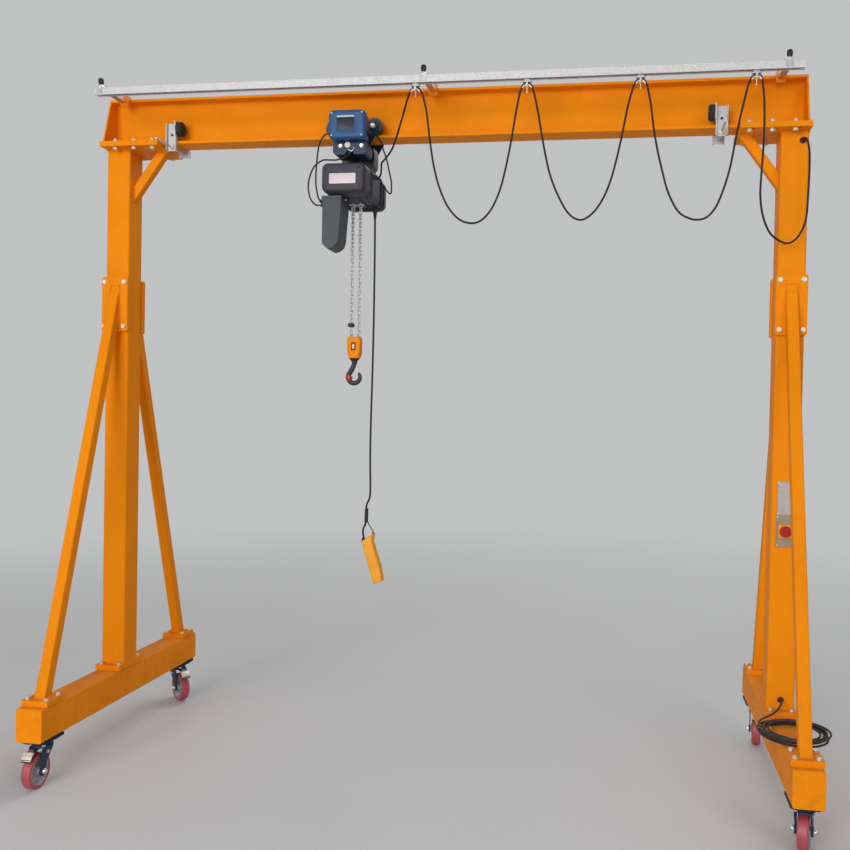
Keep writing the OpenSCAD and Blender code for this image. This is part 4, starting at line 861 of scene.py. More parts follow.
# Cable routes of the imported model. A loop's points are thousandths of the way from one carrier to the
# next, and drops from the girder's top. The feed's are thousandths of the way along to the first
# carrier and of the way out to the rail, and drops.
LOOPS = {
    2: mm(
        (73, 118), (106, 190), (134, 290), (171, 400), (224, 500), (305, 590), (411, 650), (526, 670),
        (622, 656), (711, 605), (780, 525), (829, 425), (870, 315), (902, 210), (935, 118),
    ),
    3: mm(
        (66, 118), (98, 185), (133, 274), (172, 370), (224, 470), (303, 562), (398, 636), (502, 662),
        (602, 636), (693, 575), (759, 495), (809, 400), (851, 300), (888, 200), (929, 118),
    ),
    4: mm(
        (68, 118), (97, 190), (127, 288), (165, 380), (207, 460), (262, 550), (351, 630), (444, 660),
        (529, 668), (609, 656), (681, 615), (740, 545), (795, 450), (841, 320), (888, 205), (930, 118),
    ),
}
FEED = mm(
    (0, 113, 405), (56, 117, 403), (118, 165, 388), (155, 256, 370), (196, 361, 350), (278, 406, 334),
    (413, 451, 297), (536, 556, 245), (635, 684, 205), (733, 812, 164), (819, 925, 124), (877, 985, 98),
)
TAIL = mm(
    (-170, -266, -118), (-163, -266, -190), (-161, -266, -290), (-163, -264, -390), (-167, -256, -490),
    (-166, -240, -570), (-150, -215, -645), (-118, -190, -708), (-72, -165, -740), (-28, -145, -746),
    (14, -128, -710), (42, -118, -640), (50, -112, -536), (53, -110, -430), (51, -112, -350),
    (42, -112, -304), (34, -100, -288), (32, -88, -286), (32, -74, -286),
)
JUMPERS = [
    (mm(
        (22, -192, -319.3), (21, -192, -328), (14, -193, -339), (1, -193, -348), (-19, -190, -354),
        (-51, -182, -356), (-87, -172, -352), (-119, -162, -351), (-161, -158, -380), (-185, -158, -450),
        (-179, -154, -514), (-155, -148, -548), (-129, -146, -552), (-112.3, -146, -552),
    ), (-Z, X)),
    (mm(
        (-58.3, -200, -240), (-75, -200, -240), (-97, -198, -248), (-123, -192, -285), (-135, -188, -358),
        (-140, -184, -452), (-135, -172, -510), (-127, -166, -532), (-112.3, -164, -538),
    ), (-X, X)),
    (mm(
        (102.3, -186, -238), (115, -185, -237), (133, -165, -242), (146, -120, -259), (160, -124, -300),
        (173, -123, -335), (185, -114, -390), (193, -100, -439), (191, -90, -482), (181, -84, -488),
        (163, -80, -468), (135, -80, -427), (115, -80, -408), (97.3, -80, -406),
    ), (X, -X)),
]
PENDANT_ROUTE = mm(
    (63, 90, -512.3), (63, 90, -540), (64, 89, -610), (66, 87, -730), (67, 85, -870), (68, 83, -1010),
    (68, 81, -1170), (67, 79, -1330), (65, 77, -1490), (64, 76, -1630), (65, 75, -1750), (68, 75, -1860),
    (67, 75, -1910), (59, 75, -1936), (51, 75, -1954), (50, 75, -1976), (50, 75, -2006), (50, 75, -2034),
    (45, 75, -2052), (36, 75, -2072), (35, 75, -2094), (38, 75, -2106), (38, 75, -2115.7),
)
STRAIN_ROUTE = mm(
    (57.4, 75, -1990), (57.4, 75, -2010), (57.4, 75, -2032), (64, 75, -2050), (77, 75, -2070),
    (86, 75, -2082), (86, 75, -2085.7),
)
TROLLEY_AT = np.array([TROLLEY_X, 0, GIRDER_TOP])


def over_saddle(x, way):
    """Three points of a cable on its saddle, along an arc from the middle outward."""
    a = np.radians([0, 26, 52])
    r = 0.026
    top = SADDLE_Z - 0.0053
    return np.stack([x + way * (0.00015 + r * np.sin(a)), RAIL_Y + 0 * a, top - r * (1 - np.cos(a))], -1)


def loop_route(k):
    """Route of the cable that hangs from carrier k - 1 to carrier k."""
    a, b = CARRIER_X[k - 2], CARRIER_X[k - 1]
    hung = LOOPS[k]
    mid = np.stack([a + hung[:, 0] * (b - a), RAIL_Y + 0 * hung[:, 0], GIRDER_TOP - hung[:, 1]], -1)
    return np.vstack([over_saddle(a, 1), mid, over_saddle(b, -1)[::-1]])


class CRANE_OT_festoon(Piece, bpy.types.Operator):
    """Festoon cable in its five lengths, each bending between the carriers that hold it"""

    bl_idname = "crane.festoon"
    bl_label = "Festoon Cable"

    def build(self, sizes):
        along = (X, X)
        feed_x = TROLLEY_X + 0.0973
        q = FEED
        along_x = feed_x + q[:, 0] * (CARRIER_X[0] - feed_x)
        route = np.stack([along_x, q[:, 1] * RAIL_Y, GIRDER_TOP - q[:, 2]], -1)
        route = np.vstack([route, over_saddle(CARRIER_X[0], -1)[::-1]])
        first = piece(
            "festoon_lead_1", tube(smooth(route, 5), sizes.cable_d, (0, 1, 0.4), along), "cable_jacket",
        )
        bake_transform(first)
        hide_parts("festoon_cable_1")
        for k in (2, 3, 4):
            route = loop_route(k)
            hung = piece(
                f"festoon_lead_{k}", tube(smooth(route, 5), sizes.cable_d, Y, along), "cable_jacket",
            )
            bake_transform(hung)
            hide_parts(f"festoon_cable_{k}")
        route = np.vstack([over_saddle(CARRIER_X[3], 1), TAIL + [COLUMN_X, 0, GIRDER_TOP]])
        last = piece(
            "festoon_lead_5", tube(smooth(route, 5), sizes.cable_d, (-1, 1, 0.2), (X, Y)), "cable_jacket",
            "frame",
        )
        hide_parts("festoon_cable_5")


class CRANE_OT_trolley_cables(Piece, bpy.types.Operator):
    """Jumper cables of the trolley, with the glands at their ends"""

    bl_idname = "crane.trolley_cables"
    bl_label = "Trolley Cables"

    def build(self, sizes):
        tubes, glands = [], []
        cap = lathe(mm((8.2, 0), (8.2, 4), (6.6, 8), (4.7, 9)), 24)
        gland = joined(hex_head(0.0125, 0.55), moved(cap, (0, 0, 0.0068)))
        for route, ways in JUMPERS:
            route = route + TROLLEY_AT
            tubes.append(tube(smooth(route, 5), sizes.jumper_d, Y, ways))
            for at, way in ((route[0], ways[0]), (route[-1], -ways[1])):
                glands.append(moved(gland, at - way * 0.0006, way))
        piece("jumper_leads", joined(*tubes), "cable_jacket", "trolley", ["jumper_cables"])
        piece("jumper_glands", joined(*glands), "black_plastic", "trolley")


class CRANE_OT_pendant_cord(Piece, bpy.types.Operator):
    """Pendant's cord with its strain wire and sleeve"""

    bl_idname = "crane.pendant_cord"
    bl_label = "Pendant Cord"

    def build(self, sizes):
        route = PENDANT_ROUTE + TROLLEY_AT
        path = smooth(route, 5)
        lead = tube(path, sizes.pendant_d, Y, (-Z, -Z))
        cord = piece("pendant_lead", lead, "cable_jacket", "trolley", ["pendant_cord"])
        wire = tube(smooth(STRAIN_ROUTE + TROLLEY_AT, 5), 0.0046, Y, (-Z, -Z), 10)
        strain = piece("strain_wire", wire, "cable_jacket", "trolley")
        sleeve = mm((50, 75, -2040), (50, 75, -2006), (51, 75, -1972)) + TROLLEY_AT
        t = np.linspace(0, 1, 25)
        rings = 1.0 + 0.1 * (np.arange(25) % 4 < 2)
        body = sweep(
            sleeve[0] + (sleeve[-1] - sleeve[0]) * t[:, None], round_outline(0.0085, 20), Y, size=rings
        )
        wound = piece("cord_sleeve", body, "black_rubber", "trolley")
        top = route[0]
        collar = lathe(mm((12.5, -20), (12.5, -4), (14.5, -4), (14.5, 4), (13, 6)), 28)
        taper = lathe(mm((6.6, -52), (7.8, -36), (10.5, -18)), 24)
        piece("cord_gland", joined(moved(collar, top), moved(taper, top)), "black_rubber", "trolley")


class CRANE_OT_chain(Piece, bpy.types.Operator):
    """Load chain: two falls of welded links from the hoist to the hook block"""

    bl_idname = "crane.chain"
    bl_label = "Load Chain"

    def build(self, sizes):
        w, bend = sizes.chain_wire, 0.007
        reach = CHAIN_PITCH / 2 + 0.0002 - (bend - w / 2)
        a = np.linspace(0, TURN / 2, 9)
        arc = bend * np.stack([np.cos(a), 0 * a, np.sin(a)], -1)
        path = np.vstack([arc + [0, 0, reach], arc * [-1, 1, -1] - [0, 0, reach]])
        seam = 1.0 + 0.1 * np.exp(-(((np.arange(18) - 13) / 0.7) ** 2))
        one = sweep(path, round_outline(w / 2, 8), Y, size=seam, wrap=True)
        links = []
        for side in (0, 1):
            for i in range(sizes.chain_links):
                turn = np.radians(45 + 90 * ((i + side) % 2))
                at = (TROLLEY_X + (side - 0.5) * CHAIN_GAP, 0, CHAIN_TOP - i * CHAIN_PITCH)
                links.append(moved(one, at, Z, (np.cos(turn), np.sin(turn), 0)))
        chain = piece("chain_falls", joined(*links), "chain_steel")
        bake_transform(chain)
        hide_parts("load_chain")


class CRANE_OT_hook(Piece, bpy.types.Operator):
    """Forged hook with its red band, and the housing, collar and badge of the hook block"""

    bl_idname = "crane.hook"
    bl_label = "Hook"

    def build(self, sizes):
        at = np.array([TROLLEY_X, 0, HOOK_Z])
        bowl_r = 0.029
        a = np.radians(np.linspace(140, 388, 52))
        bowl = bowl_r * np.stack([np.cos(a), 0 * a, np.sin(a)], -1)
        neck = mm(
            (0, 0, 110), (0, 0, 96), (0, 0, 82), (0.4, 0, 70), (-1, 0, 60), (-5.5, 0, 49), (-11.2, 0, 37.5),
            (-17, 0, 27.5),
        )
        tip_way = np.array([-np.sin(a[-1]), 0, np.cos(a[-1])])
        tip = bowl[-1] + tip_way * np.array([[0.003], [0.0055], [0.0072], [0.0078]])
        path = np.vstack([smooth(neck, 3)[:-1], bowl, tip])
        n = len(path)
        size = np.interp(
            np.arange(n),
            [0, 6, 10, 16, 21, 30, 44, 60, n - 5, n - 4, n - 3, n - 2, n - 1],
            np.array([11.4, 11.4, 11.6, 11.8, 12.0, 11.8, 11.8, 10.6, 8.0, 7.4, 6.0, 3.8, 1.4]) / 1000,
        )
        oval = round_outline(1.0, 24)
        forged = sweep(path, oval * [1.0, 0.86], Y, size=size)
        shoulder = lathe(
            mm((11.2, 64), (13.2, 67), (13.6, 70), (13.6, 85), (12.6, 87)), 40
        )
        lug = slab(box_outline(0.0058, 0.0052, 0.003), 0.006, 0.0006)
        pin = lathe(mm((3.3, -7.8), (3.6, -7), (2, -6.8), (2, 6.8), (3.6, 7), (3.3, 7.8)), 20)
        latch_at = np.array([0.008, 0, 0.05])
        metal = joined(
            forged, shoulder,
            moved(lug, latch_at + [-0.003, 0.003, 0], -Y, X), moved(pin, latch_at, Y),
        )
        piece("hook_forging", moved(metal, at), "black_steel", "hook", ["hook"])
        b = np.radians(np.linspace(158, 219, 16))
        band = (bowl_r - 0.004) * np.stack([np.cos(b), 0 * b, np.sin(b)], -1)
        swell = np.interp(b, b[[0, 1, 7, -2, -1]], [0.012, 0.0158, 0.0172, 0.0162, 0.0124])
        piece("hook_band", moved(sweep(band, oval * [1.0, 0.88], Y, size=swell), at), "red_plastic", "hook")
        collar = lathe(
            mm((17.5, -11), (19, -10), (22.2, -4), (22.5, -2.6), (22.5, -0.4)), 40
        )
        piece("hook_collar", moved(collar, (TROLLEY_X, 0, BLOCK_LOW)), "black_rubber", "hook_block")
        tall = BLOCK_TOP - BLOCK_LOW
        outline = np.array([
            (-0.0235, 0), (0.0235, 0), (0.0285, 0.016), (0.0312, 0.027), (0.0318, 0.036),
            (0.0318, tall - 0.012), (0.0305, tall - 0.005), (0.0265, tall), (-0.0265, tall),
            (-0.0305, tall - 0.005), (-0.0318, tall - 0.012), (-0.0318, 0.036), (-0.0312, 0.027),
            (-0.0285, 0.016),
        ])
        half = 0.0232
        block = facing(slab(outline, 2 * half, 0.006, 6), (TROLLEY_X, half, BLOCK_LOW))
        piece("block_housing", block, "orange_paint", "hook_block", ["hook_block"])
        port = lathe(mm((9.8, -1), (12, -1), (12, 1.2), (9.8, 1.6)), 32, True)
        ports = [(TROLLEY_X + i * CHAIN_GAP / 2, 0, BLOCK_TOP) for i in (-1, 1)]
        piece("block_ports", everywhere(port, ports), "black_steel", "hook_block")
        mid = BLOCK_LOW + 0.55 * tall
        for name, size_x, size_z, proud, look in (
            ("block_badge", 0.0115, 0.0192, 0.0012, "badge_brown"),
            ("block_badge_face", 0.0055, 0.011, 0.002, "badge_pale"),
        ):
            plate = slab(box_outline(size_x, size_z, 0.0025), proud, 0.0004)
            piece(name, facing(plate, (TROLLEY_X + 0.001, -half, mid)), look, "hook_block")
        stop = lathe(mm(
            (14, 0), (15.5, 1.2), (16, 3), (16, 14), (15.5, 15.8), (14, 17), (8.5, 17), (8.5, 0),
        ), 40, True)
        stop_at = low("chain_stopper") + [0.016, 0.016, 0.0015]
        piece(
            "stopper_ring", moved(stop, stop_at), "black_plastic", "hook_block",
            ["chain_stopper"]
        )


def caster_frame(corner):
    """Origin on the floor under a caster's kingpin, and the directions of its fork and of its axle."""
    sx, sy, swivel = CORNERS[corner]
    a = np.radians(swivel)
    ahead = np.array([np.cos(a), np.sin(a), 0.0])
    return np.array([sx * COLUMN_X, sy * CASTER_Y, 0.0]), ahead, np.cross(Z, ahead)


def wheel_shape():
    """Tyre with rounded shoulders, and hub whose web carries five ribs a side.

    The web's height is its own, plus the rib's where the angle is near a rib.
    """
    r, h, s = WHEEL_R, 0.0215, 0.06
    a = np.linspace(0, TURN / 4, 6)
    edge = 0.008
    right = [(r - edge + edge * np.cos(t), h - edge + edge * np.sin(t)) for t in a]
    left = [(x, -z) for x, z in right[::-1]]
    crown = [(r, -0.008), (r, 0.0), (r, 0.008)]
    inner = [(s + 0.002, h - 0.0008), (s, h - 0.002), (s, -h + 0.002), (s + 0.002, -h + 0.0008)]
    tyre = lathe(left + crown + right + inner, 72, True)
    reach = np.array([6.5, 11.5, 17.0, 18.5, 21.0, 28.0, 36.0, 44.0, 50.5, 53.5, 55.5, 59.9]) / 1000
    flat = np.array([27.0, 27.0, 26.0, 22.0, 11.5, 9.5, 9.0, 9.0, 10.0, 13.0, 19.5, 19.5]) / 1000
    turn = np.linspace(0, TURN, 80, endpoint=False)
    rib = np.clip(1.6 - 5.0 * np.abs((turn * 5 / TURN) % 1 - 0.5) * 2.2, 0, 1)
    web = (reach > 0.0186) & (reach < 0.055)
    lift = np.where(web[:, None], np.minimum(rib[None] * 0.009, 0.019 - flat[:, None]), 0.0)
    face = flat[:, None] + np.maximum(lift, 0)
    plan = reach[:, None, None] * round_outline(1.0, 80)
    near, far = (np.concatenate([plan, side * face[..., None]], -1) for side in (-1, 1))
    return tyre, skin(np.vstack([near, far[::-1]]), True)


class CRANE_OT_casters(Piece, bpy.types.Operator):
    """Caster wheels, with the axle ends, brake pedals and bolts of the forks"""

    bl_idname = "crane.casters"
    bl_label = "Casters"

    def build(self, sizes):
        tyre, hub = wheel_shape()
        crown_z = CASTER_HEIGHT - 0.0293
        bolts = []
        for corner in CORNERS:
            at, ahead, axle = caster_frame(corner)
            middle_at = at + ahead * CASTER_TRAIL + Z * WHEEL_R
            body = f"wheel_{corner}"
            rolling = moved(tyre, middle_at, axle, ahead)
            node = f"caster_wheel_{corner}"
            piece(f"tyre_{corner}", rolling, "red_tyre", body, [node])
            piece(f"hub_{corner}", moved(hub, middle_at, axle, ahead), "hub_casting", body)
            dome = lathe(mm((11, 0), (11, 3), (9.8, 6), (7, 8.5), (3, 9.8)), 28)
            end = joined(hex_head(0.0155, 0.38), moved(dome, (0, 0, 0.0055)))
            ends = [moved(end, middle_at + axle * s * 0.0352, axle * s) for s in (-1, 1)]
            pivot_at = at + ahead * 0.012 + Z * 0.15
            pivot = [moved(bolt(0.008), pivot_at + axle * s * 0.0331, axle * s) for s in (-1, 1)]
            piece(f"axle_ends_{corner}", joined(*ends, *pivot), "bright_steel", f"swivel_{corner}")
            run = mm((70, 4), (80, 1.6), (88, -0.4), (96, -4.6), (104, -12.6), (111.5, -23.5), (114, -27.5))
            path = smooth(at + run[:, :1] * ahead + (crown_z + run[:, 1:]) * Z, 4)
            last = len(path) - 1
            width = np.interp(np.arange(last + 1), [0, 5, 8, last - 1, last], [0.36, 0.45, 1.0, 1.0, 0.9])
            size = np.stack([width, np.ones(len(path))], -1)
            tread = sweep(path, box_outline(0.0235, 0.0032, 0.0025, arc=4), Z, size=size)
            ribs = [
                tube(path[i] + Z * 0.0026 + np.linspace(-0.021, 0.021, 8)[:, None] * axle, 0.0044, Z, sides=8)
                for i in range(10, len(path) - 1, 3)
            ]
            piece(f"brake_pedal_{corner}", joined(tread, *ribs), "bolt_zinc", f"swivel_{corner}")
            for i in (-1, 1):
                for j in (-1, 1):
                    place = at + [i * 0.04, j * 0.046, CASTER_HEIGHT - 0.006]
                    bolts.append(moved(bolt(0.01), place, -Z))
        piece("caster_bolts", joined(*bolts), "bolt_zinc", "frame")


class CRANE_OT_bolts(Piece, bpy.types.Operator):
    """Bolts of the girder's joints, the column feet and the braces' plates"""

    bl_idname = "crane.bolts"
    bl_label = "Joint Bolts"

    def build(self, sizes):
        d = sizes.joint_bolt
        small = 0.83 * d
        shapes = []
        for s in (-1, 1):
            x = s * COLUMN_X
            for i in (-1, 0, 1):
                for y in (-0.1, 0.1):
                    at = s * (HEAD_PLATE_X - 0.014) + i * 0.096
                    shapes.append(moved(nut(d, 0.35), (at, y, GIRDER_LOW)))
                    shapes.append(moved(bolt(d), (at, y, COLUMN_HEAD), -Z))
            for i in (-1, 1):
                for j in (-1, 1):
                    shapes.append(moved(bolt(small), (x + i * 0.045, j * 0.082, COLUMN_FOOT)))
                    for t in (-1, 1):
                        foot = (x + i * 0.044, t * BRACE_FOOT_Y + j * 0.04, COLUMN_FOOT)
                        face = (x + i * 0.05, t * BRACE_FACE_Y, BRACE_TOP_Z + j * 0.108)
                        shapes += [moved(bolt(small), foot), moved(bolt(small), face, t * Y)]
        piece("joint_bolts", joined(*shapes), "bolt_zinc", "frame")


class CRANE_OT_welds(Piece, bpy.types.Operator):
    """Fillet welds of the frame"""

    bl_idname = "crane.welds"
    bl_label = "Welds"

    def build(self, sizes):
        leg = sizes.weld
        half = COLUMN_HALF + 0.001
        beads = []
        lean = np.arctan2(BRACE_FOOT_Y - BRACE_FACE_Y, BRACE_TOP_Z - COLUMN_FOOT)
        brace = 0.025
        knee = 0.0225
        knee_lean = np.arctan2(0.146, 0.204)
        for s in (-1, 1):
            x = s * COLUMN_X
            for z in (COLUMN_FOOT + 0.001, COLUMN_HEAD - 0.001):
                beads.append(weld(rectangle(x, 0, half, half, z), leg, Z, True))
            for t in (-1, 1):
                y = t * BRACE_FOOT_Y
                foot = rectangle(x, y, brace, brace / np.cos(lean), COLUMN_FOOT + 0.001)
                beads.append(weld(foot, leg, Z, True))
                face = t * (BRACE_FACE_Y + 0.001)
                tall = brace / np.sin(lean)
                ring = [(x + i * brace, face, BRACE_TOP_Z + j * tall) for i, j in AROUND]
                beads.append(weld(ring, leg, Y, True))
                for edge in (-1, 1):
                    beads.append(seam(x, y + edge * 0.058, BEAM_TOP + 0.001, leg))
                    beads.append(seam(x, t * CASTER_Y + edge * 0.065, BEAM_LOW - 0.001, leg))
                beads.append(seam(x, t * 0.102, BEAM_TOP + 0.001, leg))
                inner, outer = s * (HEAD_PLATE_X - 0.148), s * (COLUMN_X + 0.041)
                rim = [(end, t * GIRDER_HALF_W, GIRDER_LOW + 0.001) for end in (inner, outer)]
                beads.append(weld(rim, leg, Z))
                web = [(outer, t * 0.0045, GIRDER_LOW + 0.014), (outer, t * 0.0045, GIRDER_TOP - 0.014)]
                beads.append(weld(web, leg, X))
            face = s * (COLUMN_X - COLUMN_HALF - 0.001)
            tall = knee / np.sin(knee_lean)
            z = COLUMN_HEAD - 0.204
            ring = [(face, i * knee, z + j * tall) for i, j in AROUND]
            beads.append(weld(ring, leg, X, True))
            knee_x = s * (COLUMN_X - COLUMN_HALF - 0.146)
            top = rectangle(knee_x, 0, knee / np.cos(knee_lean), knee, COLUMN_HEAD - 0.001)
            beads.append(weld(top, leg, Z, True))
        piece("weld_beads", joined(*beads), "orange_paint", "frame", crease=60.0)


class CRANE_OT_girder_fittings(Piece, bpy.types.Operator):
    """Threads and nuts of the trolley stops, black screws in the stops' holes as painted shade, and clamp
    knobs of the rail's brackets
    """

    bl_idname = "crane.girder_fittings"
    bl_label = "Girder Fittings"

    def build(self, sizes):
        threads, nuts, hole_shade_screws = [], [], []
        for x in STOP_X:
            y = np.arange(-STOP_Y - 0.153, -STOP_Y - 0.016, 0.0011)
            r = np.where(np.arange(len(y)) % 2, 0.00535, 0.0047)
            rod = np.stack([x + 0 * y, y, ROD_Z + 0 * y], -1)
            threads.append(sweep(rod, round_outline(1.0, 16), Z, size=r))
            for side in (-1, 1):
                nuts.append(moved(nut(0.013, 0.2), (x, side * (STOP_Y + 0.006), ROD_Z), side * Y))
                # Black cap screws in the stops' holes are painted shade: a dark thing that stands in for the
                # shade inside each hole.
                shade_screw_at = (x, side * (STOP_Y + 0.004), ROD_Z + 0.06)
                hole_shade_screws.append(moved(socket_screw(0.0075), shade_screw_at, side * Y))
        piece("stop_threads", joined(*threads), "bright_steel", "frame")
        piece("stop_nuts", joined(*nuts), "bolt_zinc", "frame")
        piece("stop_pins", joined(*hole_shade_screws), "black_steel", "frame")
        profile = mm((8.5, 15.5), (9.8, 18), (11.2, 24), (11.5, 32), (10.8, 39), (8, 43.2), (4, 44))
        a = np.linspace(0, TURN, 48, endpoint=False)
        grip = 1 + 0.09 * np.cos(8 * a)
        rings = [np.column_stack([r * grip * np.cos(a), r * grip * np.sin(a), 0 * a + z]) for r, z in profile]
        stud = lathe([(0.0048, 0.004), (0.0048, 0.018)], 20)
        seat = joined(
            lathe(mm((15, 0), (15.5, 1), (15.5, 2.6), (15, 3.4)), 36),
            moved(hex_head(0.0125, 0.7), (0, 0, 0.0034)),
        )
        places = [(x, RAIL_Y, RAIL_TOP + 0.004) for x in BRACKET_X]
        knobs = everywhere(skin(np.array(rings)), places)
        piece("clamp_knobs", knobs, "black_plastic", "frame", ["rail_knobs"])
        piece("clamp_seats", everywhere(joined(seat, stud), places), "bright_steel", "frame")


class CRANE_OT_carriers(Piece, bpy.types.Operator):
    """Cable carriers: runner with its rollers, neck, bar, grooved saddle and the screw below it"""

    bl_idname = "crane.carriers"
    bl_label = "Cable Carriers"

    def build(self, sizes):
        a = np.radians(np.linspace(18, 162, 30))
        centre = -0.0313
        arc = 0.02 * np.stack([np.cos(a), 0 * a, np.sin(a)], -1) + [0, 0, centre]
        groove = mm(
            (1.4, -5.8), (1.4, 5.8), (-2.4, 6.8), (-3, 6.4), (-3, 5.6), (0, 4.6), (0, -4.6), (-3, -5.6),
            (-3, -6.4), (-2.4, -6.8),
        )
        saddle = sweep(arc, groove, Y)
        wide = (high("carrier_1")[0] - low("carrier_1")[0]) / 2
        runner = slab(box_outline(wide - 0.001, 0.009, 0.003), 0.016, 0.0012)
        bar = slab(box_outline(wide - 0.002, 0.0105, 0.004), 0.0055, 0.0012)
        neck = slab(box_outline(0.012, 0.0036, 0.0015), RAIL_TOP - SADDLE_Z - 0.012, 0.0004)
        strap = slab(box_outline(0.0048, 0.0125, 0.0015), 0.0022, 0.0004)
        roller = lathe(mm((3.5, -2.6), (6.6, -2.6), (7, 0), (6.6, 2.6), (3.5, 2.6)), 24)
        for k, x in enumerate(CARRIER_X):
            body = f"carrier_{k + 1}"
            at = np.array([x, RAIL_Y, SADDLE_Z])
            rollers = [
                moved(roller, at + [i * wide * 0.62, j * 0.0118, RAIL_LOW - SADDLE_Z + 0.0105], Y)
                for i in (-1, 1) for j in (-1, 1)
            ]
            frame_shape = joined(
                moved(runner, at + [0, 0, RAIL_LOW - SADDLE_Z + 0.004]), moved(bar, at), moved(neck, at),
                *[moved(strap, at + [0, j * 0.0084, -0.0075], j * Y, X) for j in (-1, 1)], *rollers,
            )
            piece(f"carrier_frame_{k + 1}", frame_shape, "plate_zinc", body, [body])
            piece(f"carrier_saddle_{k + 1}", moved(saddle, at), "saddle_zinc", body)
            hung = lathe([(0.0024, -0.046), (0.0024, -0.012)], 16)
            head = moved(nut(0.0056, 0.4), at + [0, 0, -0.041], -Z)
            screws = [moved(bolt(0.005), at + [0, j * 0.0106, -0.0105], j * Y) for j in (-1, 1)]
            piece(f"carrier_screws_{k + 1}", joined(moved(hung, at), head, *screws), "brass_zinc", body)


def housing(*rings):
    """Loft of rounded rectangles: half width, half height, corner radius, height, and a shift if any."""
    outlines = [box_outline(w, h, r, shift or (0.0, 0.0), 9) for w, h, r, _, *shift in rings]
    return lofted(outlines, [ring[3] for ring in rings])


class CRANE_OT_drive(Piece, bpy.types.Operator):
    """Control box with its soft lid and dark panel, clamp block's bolts and the trolley's axle nuts"""

    bl_idname = "crane.drive"
    bl_label = "Trolley Drive"

    def build(self, sizes):
        box = housing(
            (0.0795, 0.0595, 0.02, 0.0002), (0.08, 0.06, 0.02, 0.001),
            (0.08, 0.06, 0.02, 0.047), (0.0775, 0.0575, 0.018, 0.0476),
            (0.0775, 0.0575, 0.018, 0.049), (0.085, 0.0652, 0.022, 0.0494),
            (0.086, 0.0662, 0.023, 0.0504), (0.086, 0.0662, 0.023, 0.062),
            (0.0852, 0.0654, 0.023, 0.066), (0.0834, 0.0636, 0.022, 0.07),
            (0.0806, 0.0608, 0.021, 0.0738), (0.0768, 0.057, 0.019, 0.0767),
            (0.072, 0.0522, 0.017, 0.0779), (0.066, 0.047, 0.015, 0.078),
            (0.0414, 0.0298, 0.006, 0.078, -0.004, -0.001), (0.0404, 0.0288, 0.005, 0.0776, -0.004, -0.001),
            (0.0398, 0.0282, 0.005, 0.0762, -0.004, -0.001),
        )
        at = (BOX_X, BOX_FRONT + 0.078, BOX_Z)
        piece("drive_housing", facing(box, at), "blue_paint", "trolley", ["drive_box"])
        plate = slab(box_outline(0.0392, 0.0276, 0.004), 0.0014, 0.0005)
        plate_at = (BOX_X - 0.004, BOX_FRONT + 0.002, BOX_Z - 0.001)
        piece("drive_panel", facing(plate, plate_at), "panel_dark", "trolley")
        strip = slab(box_outline(0.039, 0.003, 0.0012), 0.0012, 0.0004)
        strip_at = (BOX_X - 0.004, BOX_FRONT + 0.0003, BOX_Z + 0.0335)
        piece("panel_strip", facing(strip, strip_at), "white_plastic", "trolley")
        corners = [(BOX_X + i * 0.07, BOX_FRONT + 0.004, BOX_Z + j * 0.05) for i, j in SIDES]
        piece("drive_screws", everywhere(socket_screw(0.0045), corners, -Y, X), "bolt_zinc", "trolley")
        front = -0.2
        bolts = [moved(bolt(0.0095), (BOX_X + dx, front, GIRDER_LOW - 0.079), -Y) for dx in (-0.041, 0.057)]
        nuts = [
            moved(bolt(0.0125), (TROLLEY_X + i * 0.095, s * 0.0812, AXLE_Z), s * Y)
            for i in (-1, 1) for s in (-1, 1)
        ]
        shafts = [moved(bolt(0.012), (TROLLEY_X + i * 0.044, 0.082, GIRDER_LOW - 0.034), Y) for i in (-1, 1)]
        piece("drive_bolts", joined(*bolts, *nuts, *shafts), "bolt_zinc", "trolley")
        disc = lathe(mm((13.5, 0), (13.5, 2.2), (12.6, 3)), 32)
        disc_at = (BOX_X - 0.009, front, GIRDER_LOW - 0.074)
        piece("drive_disc", facing(disc, disc_at), "white_plastic", "trolley")
        a = np.radians(np.linspace(200, 380, 20))
        hoop_at = np.array([BOX_X + 0.008, front - 0.0012, GIRDER_LOW - 0.09])
        hoop = hoop_at + 0.0125 * np.stack([np.cos(a), 0 * a, np.sin(a)], -1)
        piece("clamp_hoop", tube(hoop, 0.0032, Y, sides=10), "bright_steel", "trolley")


